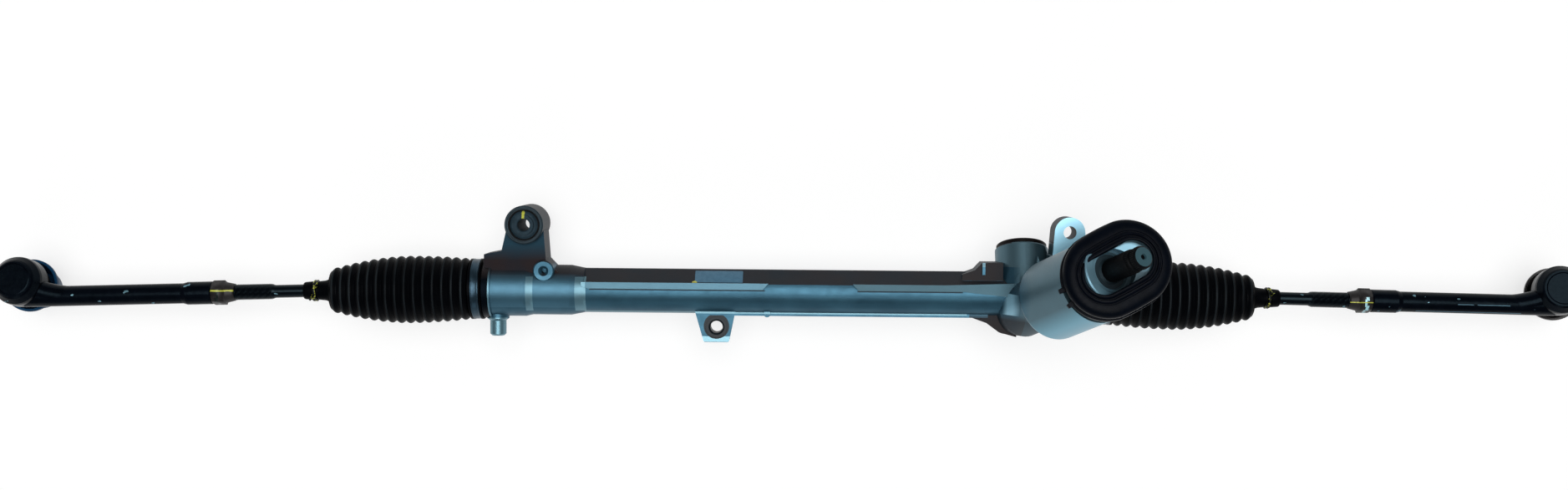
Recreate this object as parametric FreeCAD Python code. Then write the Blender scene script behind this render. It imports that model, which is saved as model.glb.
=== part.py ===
"""Manual rack-and-pinion steering gear with tie rods.

Millimetres, +Z up as the gear is seen from above, +X along the rack.
The pieces are modelled about the rack axis and then moved so that the
left mounting bore is the origin.
"""
import FreeCAD, Part
import math
import os

Vector = FreeCAD.Vector

# Fits
slide_gap = 0.05
static_gap = 0.02
soft_gap = 0.3

# Rack bar, straight ahead, between the two mouths of the housing
rack_centre = 7.0
mouth_distance = 276.5
left_mouth = rack_centre - mouth_distance
right_mouth = rack_centre + mouth_distance
rack_radius = 12.0
rack_travel = 68.0
ball_overhang = 46.5
ball_distance = mouth_distance + ball_overhang
stop_gap = 2.0

# Rack and pinion teeth
rack_pitch = 5.925
pressure_angle = 20.0
pinion_teeth = 7
profile_shift = 0.5
flank_backlash = 0.1
tooth_addendum = 0.9
tooth_dedendum = 1.25
pinion_tip_radius = 9.7
pinion_face = 28.0
shaft_spread = 14.0

# Where the pinion and the yoke cross the rack
mesh_x = right_mouth - 76.5
pinion_lean = 26.0
yoke_tilt = 21.0

# Housing along the rack
cuff_length = 12.0
spigot_radius = 21.5
socket_bore = 18.5
tube_radius = 19.2
tube_bore = 14.5
sleeve_radius = 23.0
lip_radius = 24.6
lip_width = 7.0
second_sleeve_radius = 21.6
sleeve_step = left_mouth + 47.5
tube_start = left_mouth + 98.5
tube_end = mesh_x - 12.0
mesh_body_radius = 25.0
facet_distance = 16.8
facet_angle = 52.0
draft_step = 6.0

# Left mounting ear and its rubber bush
ear_x = left_mouth + 48.0
ear_y = 56.7
ear_boss_radius = 16.5
ear_recess = 1.5
ear_low = -25.0
ear_high = 22.0
bush_radius = 13.3
bush_shell_wall = 1.2
bush_sleeve_radius = 8.4
mount_bolt_radius = 5.3
bush_overhang = 1.5

# Right mounting lug
lug_x = right_mouth - 40.5
lug_y = 54.5
lug_radius = 13.0
lug_low = -4.0
lug_high = 22.0
lug_bolt_radius = 5.5

# Lower lug on the tube, small boss and locating peg
tube_lug_x = -57.5
tube_lug_y = -30.5
tube_lug_end = 12.8
tube_lug_half = 9.0
tube_lug_bore = 5.3
spot_face_radius = 9.5
clip_boss_x = left_mouth + 64.5
clip_boss_y = 17.5
clip_boss_radius = 9.0
clip_boss_top = 20.0
clip_hole_radius = 2.2
clip_hole_depth = 12.0
peg_x = left_mouth + 22.9
peg_radius = 7.0
peg_length = 40.0
peg_root_radius = 9.5
peg_root_length = 27.0

# Ribs along the tube
rib_top = 20.7
rib_break_start = -18.0
rib_break_end = 59.0
rib_inner_y = 3.0
rib_outer_y = 8.5
fin_y = -20.4
fin_top = 8.0
gusset_start = mesh_x - 54.0
gusset_y = 27.5

# Pinion tower, measured along the pinion axis from the mesh point
tower_bottom = -36.0
tower_foot_radius = 14.0
tower_waist_radius = 23.5
tower_large_start = 42.0
tower_large_radius = 34.0
tower_offset = 3.0
tower_edge_round = 5.0
tower_top = 106.0
tower_bore = 26.0
tower_bore_start = 50.0
pinion_chamber = 11.5
cover_plug_depth = 9.0
cover_flange_radius = 30.0
cover_flange = 3.0
neck_radius = 25.0
neck_top = 130.0
cover_bore = 12.5

# Pinion shaft
journal_radius = 5.5
journal_length = 12.0
lower_bush_radius = 8.0
bearing_start = 20.0
bearing_width = 10.0
bearing_outer = 17.5
bearing_inner = 8.5
bearing_shoulder = 0.7
bearing_ball_count = 10
race_wall = 2.3
race_groove = 0.6
shaft_radius = 9.8
seal_land_radius = 9.2
seal_land_end = 131.0
spline_start = 158.0
spline_radius = 8.8
shaft_end = 171.7
shaft_centre_hole = 2.5
clamp_groove_depth = 1.2
clamp_groove_width = 4.0
oil_seal_radius = 17.5
oil_seal_width = 7.0
clip_thickness = 1.5

# Yoke
yoke_radius = 17.0
yoke_back = 27.0
yoke_liner = 0.75
yoke_boss_radius = 23.0
yoke_boss_length = 41.0
plug_radius = 18.2
plug_start = 30.0
plug_socket_across = 14.0
yoke_cap_height = 3.5
yoke_cap_rim = 1.3
spring_radius = 7.0
spring_wire = 1.3
spring_turns = 2.5
ring_section = 1.2

# Rack bush in the left sleeve
rack_bush_radius = 15.2
rack_bush_start = left_mouth + 63.5
rack_bush_length = 20.0

# Rubber seal against the dash panel
seal_x = mesh_x + 58.0
seal_y = 30.5
seal_z = 115.0
seal_tilt = 15.0
seal_turn = 38.0
seal_reach = 8.5
seal_radius = 38.5
seal_base = 5.0
seal_groove = 4.0
seal_ridge = 4.0
seal_lip = 7.0
seal_half_depth = 10.0
seal_groove_depth = 3.0
seal_mouth_radius = 23.0
dish_low = -3.0
dish_high = -1.0

# Inner ball joint, from the ball centre outwards
inner_ball_radius = 12.0
inner_seat_wall = 1.5
socket_radius = 16.5
socket_back = 25.0
socket_mouth = 6.0
socket_shank_radius = 7.0
socket_shank_length = 16.0
socket_flat_across = 29.0
socket_flat_length = 12.0
seat_mouth = 2.5

# Tie rod and rod end, from the inner ball outwards
left_droop = 1.8
right_droop = 1.0
rod_neck_radius = 5.0
rod_radius = 5.6
rod_thread_radius = 6.1
rod_thread_start = 125.0
rod_thread_overlap = 38.0
left_eye_distance = 343.5
right_eye_distance = 340.0
rod_end_start = 177.0
jam_nut_length = 11.0
jam_nut_across = 19.0
jam_nut_cone = 8.0
rod_end_radius = 8.8
rod_end_thick_radius = 9.9
rod_end_thick_length = 22.0

# Outer ball joint, from the ball centre along the stud
eye_offset = 13.0
eye_radius = 21.0
eye_height = 16.0
eye_depth = 9.0
eye_spigot_radius = 15.5
eye_spigot_depth = 13.0
eye_crown = 7.0
eye_throat = 7.0
left_lean_out = 0.5
right_lean_out = 9.5
stud_lean_side = 13.0
outer_ball_radius = 11.0
outer_seat_wall = 1.45
stud_seat_mouth = 6.5
stud_seat_top = 9.0
eye_cover_radius = 14.0
eye_cover_thickness = 1.5
stud_neck_radius = 7.0
stud_taper_radius = 7.5
stud_taper_start = 25.0
stud_taper_end = 40.0
stud_taper_small = 6.2
stud_thread_radius = 5.0
stud_tip = 50.5
cap_rim_radius = 23.0
cap_rim_start = 20.0
cap_wall = 2.0
cap_end = 53.0

# Bellows, from the housing mouth outwards
cuff_radius = 26.2
cuff_end_gap = 0.9
clamp_thickness = 1.2
clamp_width = 7.0
bellows_folds = 15
bellows_length = 119.5
bellows_peak = 29.2
bellows_last_crest = 18.9
fold_depth = 3.2
bellows_wall = 1.5
bellows_neck_length = 25.0
bellows_neck_radius = 9.5
neck_draft = 2.5
clip_place = bellows_length + 15.0 - ball_overhang
clip_wire = 0.9
clip_tang = 7.0

ORIGIN = Vector(0, 0, 0)
ALONG = Vector(1, 0, 0)
FORWARD = Vector(0, 1, 0)
UP = Vector(0, 0, 1)


def sine(degrees):
    return math.sin(math.radians(degrees))


def cosine(degrees):
    return math.cos(math.radians(degrees))


def tangent(degrees):
    return math.tan(math.radians(degrees))


# Directions and points that several pieces share
yoke_direction = Vector(0, cosine(yoke_tilt), -sine(yoke_tilt))
mesh_point = Vector(mesh_x, 0, 0)
pinion_point = mesh_point - yoke_direction * shaft_spread
pinion_direction = Vector(tangent(pinion_lean), tangent(yoke_tilt), 1).normalize()
tower_side = (pinion_direction * pinion_direction.y - FORWARD).normalize()
tower_point = pinion_point + tower_side * tower_offset
socket_bore_end = ball_distance - socket_back - rack_travel - stop_gap
inner_seat_radius = inner_ball_radius + slide_gap + inner_seat_wall
outer_seat_radius = outer_ball_radius + slide_gap + outer_seat_wall
rack_end_distance = ball_distance - socket_back


def placed(shape, base, direction):
    """Turn local Z to the direction and move the origin to the base."""
    shape = shape.copy()
    turn = FreeCAD.Rotation(UP, direction)
    shape.Placement = FreeCAD.Placement(base, turn).multiply(shape.Placement)
    return shape


def turned(outline, base=ORIGIN, direction=ALONG):
    """Solid of revolution from (distance along the axis, radius) corners.

    A pair of corners in place of one is an arc through the first to the second.
    """
    def corner(pair):
        return Vector(pair[1], 0, pair[0])

    first = corner(outline[0])
    here = first
    edges = []
    for entry in outline[1:]:
        if isinstance(entry[0], tuple):
            middle, end = corner(entry[0]), corner(entry[1])
            edges.append(Part.Arc(here, middle, end).toShape())
        else:
            end = corner(entry)
            edges.append(Part.makeLine(here, end))
        here = end
    if here.distanceToPoint(first) > 1e-6:
        edges.append(Part.makeLine(here, first))
    face = Part.Face(Part.Wire(edges))
    return placed(face.revolve(ORIGIN, UP, 360), base, direction)


def on_circle(radius, along):
    """Corner on a circle about the axis origin, by its distance along the axis."""
    return along, math.sqrt(radius ** 2 - along ** 2)


def rod(radius, start, end, base=ORIGIN, direction=ALONG):
    """Round bar from start to end along the direction."""
    return Part.makeCylinder(radius, end - start, base + direction * start, direction)


def ring(outer, inner, start, end, base=ORIGIN, direction=ALONG):
    """Plain ring."""
    bar = rod(outer, start, end, base, direction)
    return bar.cut(rod(inner, start, end, base, direction))


def prism(points, low, high, corner=0.0):
    """Flat outline in XY raised from low to high, upright edges rounded."""
    corners = [Vector(x, y, low) for x, y in points]
    face = Part.Face(Part.makePolygon(corners + corners[:1]))
    solid = face.extrude(UP * (high - low))
    if corner > 0:
        upright = [e for e in solid.Edges if abs(e.tangentAt(e.FirstParameter).z) > 0.99]
        solid = solid.makeFillet(corner, upright)
    return solid


def circular_edges(shape, radius, point=None, reach=0.1):
    """Circle edges of one radius, near a centre where one is given."""
    found = []
    for edge in shape.Edges:
        if not isinstance(edge.Curve, Part.Circle):
            continue
        if abs(edge.Curve.Radius - radius) > 1e-4:
            continue
        if point is None or edge.Curve.Center.distanceToPoint(point) < reach:
            found.append(edge)
    return found


def hexagon(across, start, end, base, direction):
    """Hexagon bar of one width across flats."""
    corner = across / 2 / cosine(30)
    points = [Vector(corner * cosine(a), corner * sine(a), start) for a in range(0, 360, 60)]
    face = Part.Face(Part.makePolygon(points + points[:1]))
    return placed(face.extrude(UP * (end - start)), base, direction)


def housing_tube():
    """Left sleeve, tube, mesh body and right stub, all turned about the rack axis."""
    left_lip = left_mouth + cuff_length
    right_lip = right_mouth - cuff_length
    outline = [
        (left_mouth, 0),
        (left_mouth, spigot_radius),
        (left_lip, spigot_radius),
        (left_lip, lip_radius),
        (left_lip + lip_width, lip_radius),
        (left_lip + lip_width, sleeve_radius),
        (sleeve_step, sleeve_radius),
        (sleeve_step + draft_step, second_sleeve_radius),
        (tube_start - 2 * draft_step, second_sleeve_radius),
        (tube_start, tube_radius),
        (tube_end, tube_radius),
        (tube_end + draft_step, mesh_body_radius),
        (lug_x, mesh_body_radius),
        (lug_x + draft_step, sleeve_radius),
        (right_lip - lip_width, sleeve_radius),
        (right_lip - lip_width, lip_radius),
        (right_lip, lip_radius),
        (right_lip, spigot_radius),
        (right_mouth, spigot_radius),
        (right_mouth, 0),
    ]
    tube = turned(outline)
    size = 2 * tube_radius
    slab = Part.makeBox(tube_end - tube_start, size, size)
    slab.translate(Vector(0, -size / 2, facet_distance))
    slab.rotate(ORIGIN, ALONG, -facet_angle)
    slab.translate(Vector(tube_start, 0, 0))
    return tube.cut(slab)


def tube_ribs():
    """Ribs on the crease of the tube, the fin below it and the flare towards the tower."""
    low = tube_radius / 2
    first = prism([
        (tube_start - 2, rib_inner_y + 2),
        (tube_start + 4, rib_inner_y),
        (rib_break_start, rib_inner_y),
        (rib_break_start + 5, rib_outer_y),
        (tube_start - 2, rib_outer_y),
    ], low, rib_top)
    second = prism([
        (rib_break_end, rib_outer_y),
        (rib_break_end + 5, rib_inner_y),
        (gusset_start, rib_inner_y),
        (mesh_x - 7, 1 - rib_inner_y),
        (mesh_x - 7, rib_outer_y + 2),
        (gusset_start - 15, rib_outer_y),
    ], low, rib_top)
    fin = prism([
        (tube_lug_x + 12, -low),
        (tube_lug_x + 12, fin_y),
        (gusset_start + 23, fin_y),
        (gusset_start + 23, -low),
    ], fin_top / 2, fin_top)
    flare = prism([
        (gusset_start, -low),
        (gusset_start, 2 - tube_radius),
        (gusset_start + 22, -mesh_body_radius),
        (gusset_start + 33, -mesh_body_radius - 8),
        (gusset_start + 48, -mesh_body_radius - 12),
        (gusset_start + 48, -low),
    ], -fin_top, fin_top - 2)
    nub = rod(3.0, fin_top / 2, fin_top + 2, Vector(-14, fin_y + 2, 0), UP)
    return [first, second, fin, flare, nub]


def mounting_ear():
    """Boss for the rubber bush with its web down to the sleeve."""
    boss = rod(ear_boss_radius, ear_low, ear_high, Vector(ear_x, ear_y, 0), UP)
    rim = circular_edges(boss, ear_boss_radius)
    boss = boss.makeChamfer(1.0, rim)
    left = left_mouth + cuff_length
    side = ear_boss_radius - 0.5
    web = prism([
        (left + 1, 8),
        (left + 1, sleeve_radius + 8),
        (ear_x - side - 4, sleeve_radius + 11),
        (ear_x - side, ear_y - 5),
        (ear_x, ear_y),
        (ear_x + side, ear_y - 5),
        (ear_x + side + 2, sleeve_radius + 4),
        (clip_boss_x + 12, 16),
        (clip_boss_x + 12, 8),
    ], ear_low + 8, ear_high - 7)
    return [boss, web]


def clip_boss():
    """Small upright boss with a countersunk hole."""
    base = Vector(clip_boss_x, clip_boss_y, 0)
    boss = turned([
        (0, 0),
        (0, clip_boss_radius + 1),
        (clip_boss_top - 1, clip_boss_radius),
        (clip_boss_top, clip_boss_radius - 1),
        (clip_boss_top, 0),
    ], base, UP)
    return boss


def clip_boss_hole():
    sink = clip_hole_radius * 2
    return turned([
        (clip_boss_top - clip_hole_depth, 0),
        (clip_boss_top - clip_hole_depth, clip_hole_radius),
        (clip_boss_top - clip_hole_radius, clip_hole_radius),
        (clip_boss_top, sink),
        (clip_boss_top + 1, sink),
        (clip_boss_top + 1, 0),
    ], Vector(clip_boss_x, clip_boss_y, 0), UP)


def locating_peg():
    """Peg that points away from the mounting ears."""
    return turned([
        (0, 0),
        (0, peg_root_radius),
        (peg_root_length - 2, peg_root_radius),
        (peg_root_length, peg_radius),
        (peg_length - 1.5, peg_radius),
        (peg_length, peg_radius - 1.5),
        (peg_length, 0),
    ], Vector(peg_x, 0, 0), FORWARD * -1)


def tube_lug():
    """Lug below the tube with its spot face."""
    low = tube_lug_y - tube_lug_end
    root = 6 - tube_radius
    skin = 2 - tube_radius
    lug = prism([
        (tube_lug_x - 18.5, root),
        (tube_lug_x - 18.5, skin),
        (tube_lug_x - tube_lug_end + 2, low),
        (tube_lug_x + tube_lug_end - 2, low),
        (tube_lug_x + 16, skin),
        (tube_lug_x + 16, root),
    ], -tube_lug_half, tube_lug_half, 1.5)
    return lug


def tube_lug_hole():
    centre = Vector(tube_lug_x, tube_lug_y, 0)
    hole = rod(tube_lug_bore, -tube_lug_half - 1, tube_lug_half + 1, centre, UP)
    face = rod(spot_face_radius, tube_lug_half - 1.5, tube_lug_half + 1, centre, UP)
    chamfer = turned([
        (tube_lug_half - 3, 0),
        (tube_lug_half - 3, tube_lug_bore),
        (tube_lug_half - 1.5, tube_lug_bore + 1.5),
        (tube_lug_half, tube_lug_bore + 1.5),
        (tube_lug_half, 0),
    ], centre, UP)
    return hole.fuse([face, chamfer])


def mounting_lug():
    """Right lug with the plain bolt hole, joined to the mesh body."""
    eye = rod(lug_radius, lug_low, lug_high, Vector(lug_x, lug_y, 0), UP)
    web = prism([
        (lug_x - lug_radius - 6, 10),
        (lug_x - lug_radius - 2, mesh_body_radius + 4),
        (lug_x - lug_radius, lug_y),
        (lug_x + lug_radius, lug_y),
        (lug_x + lug_radius + 3, mesh_body_radius),
        (lug_x + lug_radius + 3, 10),
    ], lug_low, lug_high)
    foot = prism([
        (lug_x - lug_radius - 8, 5),
        (lug_x - lug_radius - 4, mesh_body_radius + 10),
        (lug_x + lug_radius, mesh_body_radius + 10),
        (lug_x + lug_radius, 5),
    ], lug_low + 6, lug_high + 14)
    return [eye, web, foot]


def tower():
    """Foot, waist and large cylinder of the pinion tower."""
    edge = tower_edge_round
    start = tower_large_start
    lower = turned([
        (tower_bottom, 0),
        (tower_bottom, tower_foot_radius - 2),
        (tower_bottom + 3, tower_foot_radius),
        (-2, tower_waist_radius),
        (start + edge, tower_waist_radius),
        (start + edge, 0),
    ], pinion_point, pinion_direction)
    large = rod(tower_large_radius, start, tower_top, tower_point, pinion_direction)
    low_edge = circular_edges(large, tower_large_radius, tower_point + pinion_direction * start)
    large = large.makeFillet(edge, low_edge)
    return [lower, large]


def yoke_boss():
    """Boss round the yoke, the gusset on its left and a small fin beside the tower."""
    boss = rod(yoke_boss_radius, 0, yoke_boss_length, mesh_point, yoke_direction)
    boss = boss.makeChamfer(1.5, circular_edges(boss, yoke_boss_radius,
                                                mesh_point + yoke_direction * yoke_boss_length))
    side = mesh_x - yoke_boss_radius + 4
    gusset = prism([
        (gusset_start, 10),
        (gusset_start, tube_radius - 2),
        (gusset_start + 11, tube_radius + 2),
        (gusset_start + 17, gusset_y),
        (side, gusset_y),
        (side, 10),
    ], -8, 12)
    post = prism([
        (gusset_start + 17, tube_radius - 2),
        (gusset_start + 17, gusset_y),
        (gusset_start + 19.5, gusset_y),
        (gusset_start + 19.5, tube_radius - 2),
    ], 8, 14.5)
    fin = prism([
        (mesh_x + 7, 16),
        (mesh_x + 9.5, 34),
        (mesh_x + 16, 16),
    ], 0, 19)
    return [boss, gusset, post, fin]


def housing_bores():
    """Everything that is machined out of the casting."""
    left, right = left_mouth, right_mouth
    left_end = rack_centre - socket_bore_end
    right_end = rack_centre + socket_bore_end
    bush_end = rack_bush_start + rack_bush_length
    bush_bore = rack_bush_radius + static_gap
    rack_bores = turned([
        (left - 1, 0),
        (left - 1, socket_bore + 1),
        (left, socket_bore + 1),
        (left + 1, socket_bore),
        (left_end, socket_bore),
        (left_end, bush_bore),
        (bush_end, bush_bore),
        (bush_end, tube_bore),
        (right_end, tube_bore),
        (right_end, socket_bore),
        (right - 1, socket_bore),
        (right, socket_bore + 1),
        (right + 1, socket_bore + 1),
        (right + 1, 0),
    ])
    ring_groove = rod(rack_bush_radius + 0.9, rack_bush_start - 2.6, rack_bush_start - 0.4)
    journal_top = -pinion_face / 2 - 6
    journal_low = journal_top - journal_length - 1
    bearing_bore = bearing_outer + static_gap
    bearing_end = bearing_start + bearing_width
    clip_low = bearing_end + static_gap
    clip_high = clip_low + clip_thickness + 0.1
    bush_hole = lower_bush_radius + static_gap
    pinion_bores = turned([
        (journal_low, 0),
        (journal_low, bush_hole),
        (journal_top, bush_hole),
        (journal_top, pinion_chamber),
        (bearing_start, pinion_chamber),
        (bearing_start, bearing_bore),
        (clip_low, bearing_bore),
        (clip_low, bearing_bore + 1.5),
        (clip_high, bearing_bore + 1.5),
        (clip_high, bearing_bore),
        (clip_high + 3, bearing_bore),
        (tower_bore_start, tower_bore - 4),
        (tower_bore_start, tower_bore),
        (tower_top + 1, tower_bore),
        (tower_top + 1, 0),
    ], pinion_point, pinion_direction)
    yoke_bore = yoke_radius + slide_gap
    plug_bore = plug_radius + static_gap
    yoke_bores = turned([
        (0, 0),
        (0, yoke_bore),
        (plug_start - 1, yoke_bore),
        (plug_start - 1, plug_bore),
        (yoke_boss_length + 1, plug_bore),
        (yoke_boss_length + 1, 0),
    ], mesh_point, yoke_direction)
    ear = Vector(ear_x, ear_y, 0)
    bush_bore_cut = rod(bush_radius + static_gap, ear_low - 1, ear_high + 1, ear, UP)
    recess = rod(bush_radius + ear_recess, ear_high - 2, ear_high + 1, ear, UP)
    lug = Vector(lug_x, lug_y, 0)
    lug_hole = rod(lug_bolt_radius, lug_low - 1, lug_high + 1, lug, UP)
    above = rod(lug_radius - 1, lug_high, lug_high + 30, lug, UP)
    return [rack_bores, ring_groove, pinion_bores, yoke_bores, bush_bore_cut, recess, lug_hole,
            above, tube_lug_hole(), clip_boss_hole()]


def rack_housing():
    """One die casting with all its bores."""
    solids = tube_ribs() + mounting_ear() + mounting_lug() + tower() + yoke_boss()
    solids += [clip_boss(), locating_peg(), tube_lug()]
    casting = housing_tube().fuse(solids)
    return casting.cut(housing_bores()).removeSplitter()


def mount_bush():
    """Steel shell, rubber and inner sleeve of the left mounting."""
    base = Vector(ear_x, ear_y, 0)
    shell_in = bush_radius - bush_shell_wall
    shell = ring(bush_radius, shell_in, ear_low, ear_high, base, UP)
    low = ear_low - bush_overhang
    high = ear_high + bush_overhang
    rubber_out = shell_in - static_gap
    rubber_in = bush_sleeve_radius + static_gap
    rubber = turned([
        (ear_low + 1, rubber_in),
        (ear_low + 1, rubber_out - 2),
        (ear_low + 2.5, rubber_out),
        (ear_high - 2.5, rubber_out),
        (ear_high - 1, rubber_out - 2),
        (ear_high - 1, rubber_in),
    ], base, UP)
    sleeve = turned([
        (low, mount_bolt_radius + 0.8),
        (low, bush_sleeve_radius),
        (high, bush_sleeve_radius),
        (high, mount_bolt_radius + 0.8),
        (high - 0.8, mount_bolt_radius),
        (low + 0.8, mount_bolt_radius),
    ], base, UP)
    return {"mount_bush_shell": shell, "mount_bush_rubber": rubber, "mount_bush_sleeve": sleeve}


def rack_bush():
    """Plastic bush that carries the plain end of the rack, and its retaining ring."""
    inner = rack_radius + slide_gap
    end = rack_bush_start + rack_bush_length
    bush = turned([
        (rack_bush_start, inner + 1),
        (rack_bush_start, rack_bush_radius),
        (end - static_gap, rack_bush_radius),
        (end - static_gap, inner),
        (rack_bush_start + 1, inner),
    ])
    outer = rack_bush_radius + 0.9 - static_gap
    start = rack_bush_start - 2.6 + static_gap
    keeper = ring(outer, inner + 0.8, start, rack_bush_start - 0.4 - static_gap)
    return {"rack_bush": bush, "rack_bush_ring": keeper}


def rack_bar():
    """Round bar with a flat row of straight teeth on the pinion side."""
    left = rack_centre - rack_end_distance
    right = rack_centre + rack_end_distance
    hole = socket_shank_radius + static_gap
    depth = socket_shank_length + 2
    bar = turned([
        (left, hole),
        (left, rack_radius - 1.5),
        (left + 1.5, rack_radius),
        (right - 1.5, rack_radius),
        (right, rack_radius - 1.5),
        (right, hole),
        (right - depth, hole),
        (right - depth, 0),
        (left + depth, 0),
        (left + depth, hole),
    ])
    module = rack_pitch / math.pi
    helix = rack_helix_angle()
    pitch_radius = pinion_teeth * module / cosine(helix) / 2
    reference = shaft_spread - pitch_radius - profile_shift * module
    tip = reference + tooth_addendum * module
    root = reference - tooth_dedendum * module
    flank = tangent(pressure_angle)
    half_tip = rack_pitch / 4 + (tip - reference) * flank
    half_root = rack_pitch / 4 - (reference - root) * flank
    outer = rack_radius + 1
    first = math.floor((rack_travel + pinion_tip_radius) / rack_pitch)
    cutters = []
    for number in range(-first, first + 1):
        middle = mesh_x + number * rack_pitch
        rise = (outer - tip) * flank
        outline = [
            Vector(middle - half_root, 0, root),
            Vector(middle + half_root, 0, root),
            Vector(middle + half_tip + rise, 0, outer),
            Vector(middle - half_tip - rise, 0, outer),
        ]
        face = Part.Face(Part.makePolygon(outline + outline[:1]))
        face.translate(Vector(0, -outer, 0))
        cutters.append(face.extrude(FORWARD * 2 * outer))
    length = (2 * first + 1) * rack_pitch
    flat = Part.makeBox(length, 2 * outer, outer, Vector(mesh_x - length / 2, -outer, tip))
    cutters.append(flat)
    teeth = Part.makeCompound(cutters)
    teeth.Placement = FreeCAD.Placement(ORIGIN, FreeCAD.Rotation(UP, yoke_direction * -1))
    return bar.cut(teeth.Solids)


def rack_helix_angle():
    """Angle between the pinion and the square to the rack."""
    return math.degrees(math.asin(pinion_direction.x))


def pinion_section():
    """Corner points of the pinion teeth in their own plane, first tooth along local X."""
    module = rack_pitch / math.pi
    helix = rack_helix_angle()
    pitch_radius = pinion_teeth * module / cosine(helix) / 2
    slope = math.atan(tangent(pressure_angle) / cosine(helix))
    base_radius = pitch_radius * math.cos(slope)
    root_radius = pitch_radius - (tooth_dedendum - profile_shift) * module
    shift = 2 * profile_shift * tangent(pressure_angle) / pinion_teeth
    half_tooth = math.pi / 2 / pinion_teeth + shift - flank_backlash / pitch_radius
    involute_at_pitch = math.tan(slope) - slope

    def half_angle(radius):
        lean = math.acos(min(1.0, base_radius / radius))
        return half_tooth + involute_at_pitch - (math.tan(lean) - lean)

    steps = 3
    radii = [base_radius + (pinion_tip_radius - base_radius) * (k / steps) ** 1.5
             for k in range(steps + 1)]
    flank = [(root_radius, half_angle(base_radius))] + [(r, half_angle(r)) for r in radii]
    points = []
    for tooth in range(pinion_teeth):
        middle = tooth * 2 * math.pi / pinion_teeth
        for radius, angle in flank:
            points.append((radius, middle - angle))
        for radius, angle in reversed(flank):
            points.append((radius, middle + angle))
    return points, pitch_radius


def pinion_toothing():
    """Helical teeth, lofted through turned copies of one section."""
    points, pitch_radius = pinion_section()
    twist = tangent(rack_helix_angle()) / pitch_radius
    across = pinion_direction.cross(yoke_direction)
    layers = 9
    sections = []
    for layer in range(layers):
        along = pinion_face * (layer / (layers - 1) - 0.5)
        centre = pinion_point + pinion_direction * along
        corners = []
        for radius, angle in points:
            turn = angle + twist * along
            corners.append(centre + yoke_direction * (radius * math.cos(turn))
                           + across * (radius * math.sin(turn)))
        sections.append(Part.makePolygon(corners + corners[:1]))
    return Part.makeLoft(sections, True, True)


def pinion_shaft():
    """Journal, helical pinion, bearing seat and input shaft in one piece."""
    face_end = pinion_face / 2
    journal_top = -face_end - 6
    journal_low = journal_top - journal_length
    core = pinion_section_root() - 0.3
    bearing_end = bearing_start + bearing_width
    clip_low = bearing_end + static_gap
    clip_high = clip_low + clip_thickness
    groove_low = spline_start + 4
    groove_high = groove_low + clamp_groove_width
    groove_radius = spline_radius - clamp_groove_depth
    hole_depth = 8.0
    body = turned([
        (journal_low, 0),
        (journal_low, journal_radius - 0.5),
        (journal_low + 0.5, journal_radius),
        (journal_top, journal_radius),
        (journal_top + 1, core),
        (face_end, core),
        (bearing_start - 2, bearing_inner + bearing_shoulder),
        (bearing_start - static_gap, bearing_inner + bearing_shoulder),
        (bearing_start - static_gap, bearing_inner - static_gap),
        (clip_low, bearing_inner - static_gap),
        (clip_low, bearing_inner - 0.7),
        (clip_high + 0.1, bearing_inner - 0.7),
        (clip_high + 0.1, bearing_inner - static_gap),
        (clip_high + 2, bearing_inner - static_gap),
        (tower_bore_start + 5, bearing_inner),
        (tower_top, bearing_inner + 0.4),
        (neck_top - oil_seal_width - 4, seal_land_radius),
        (seal_land_end - shaft_radius + seal_land_radius, seal_land_radius),
        (seal_land_end, shaft_radius),
        (spline_start, shaft_radius),
        (spline_start + 1, spline_radius),
        (groove_low, spline_radius),
        (groove_low + 0.8, groove_radius),
        (groove_high - 0.8, groove_radius),
        (groove_high, spline_radius),
        (shaft_end - 1, spline_radius),
        (shaft_end, spline_radius - 1),
        (shaft_end, shaft_centre_hole),
        (shaft_end - hole_depth, shaft_centre_hole),
        (shaft_end - hole_depth - 1.5, 0),
    ], pinion_point, pinion_direction)
    return body.fuse(pinion_toothing())


def pinion_section_root():
    """Root radius of the pinion."""
    points, pitch_radius = pinion_section()
    return min(radius for radius, angle in points)


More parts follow.
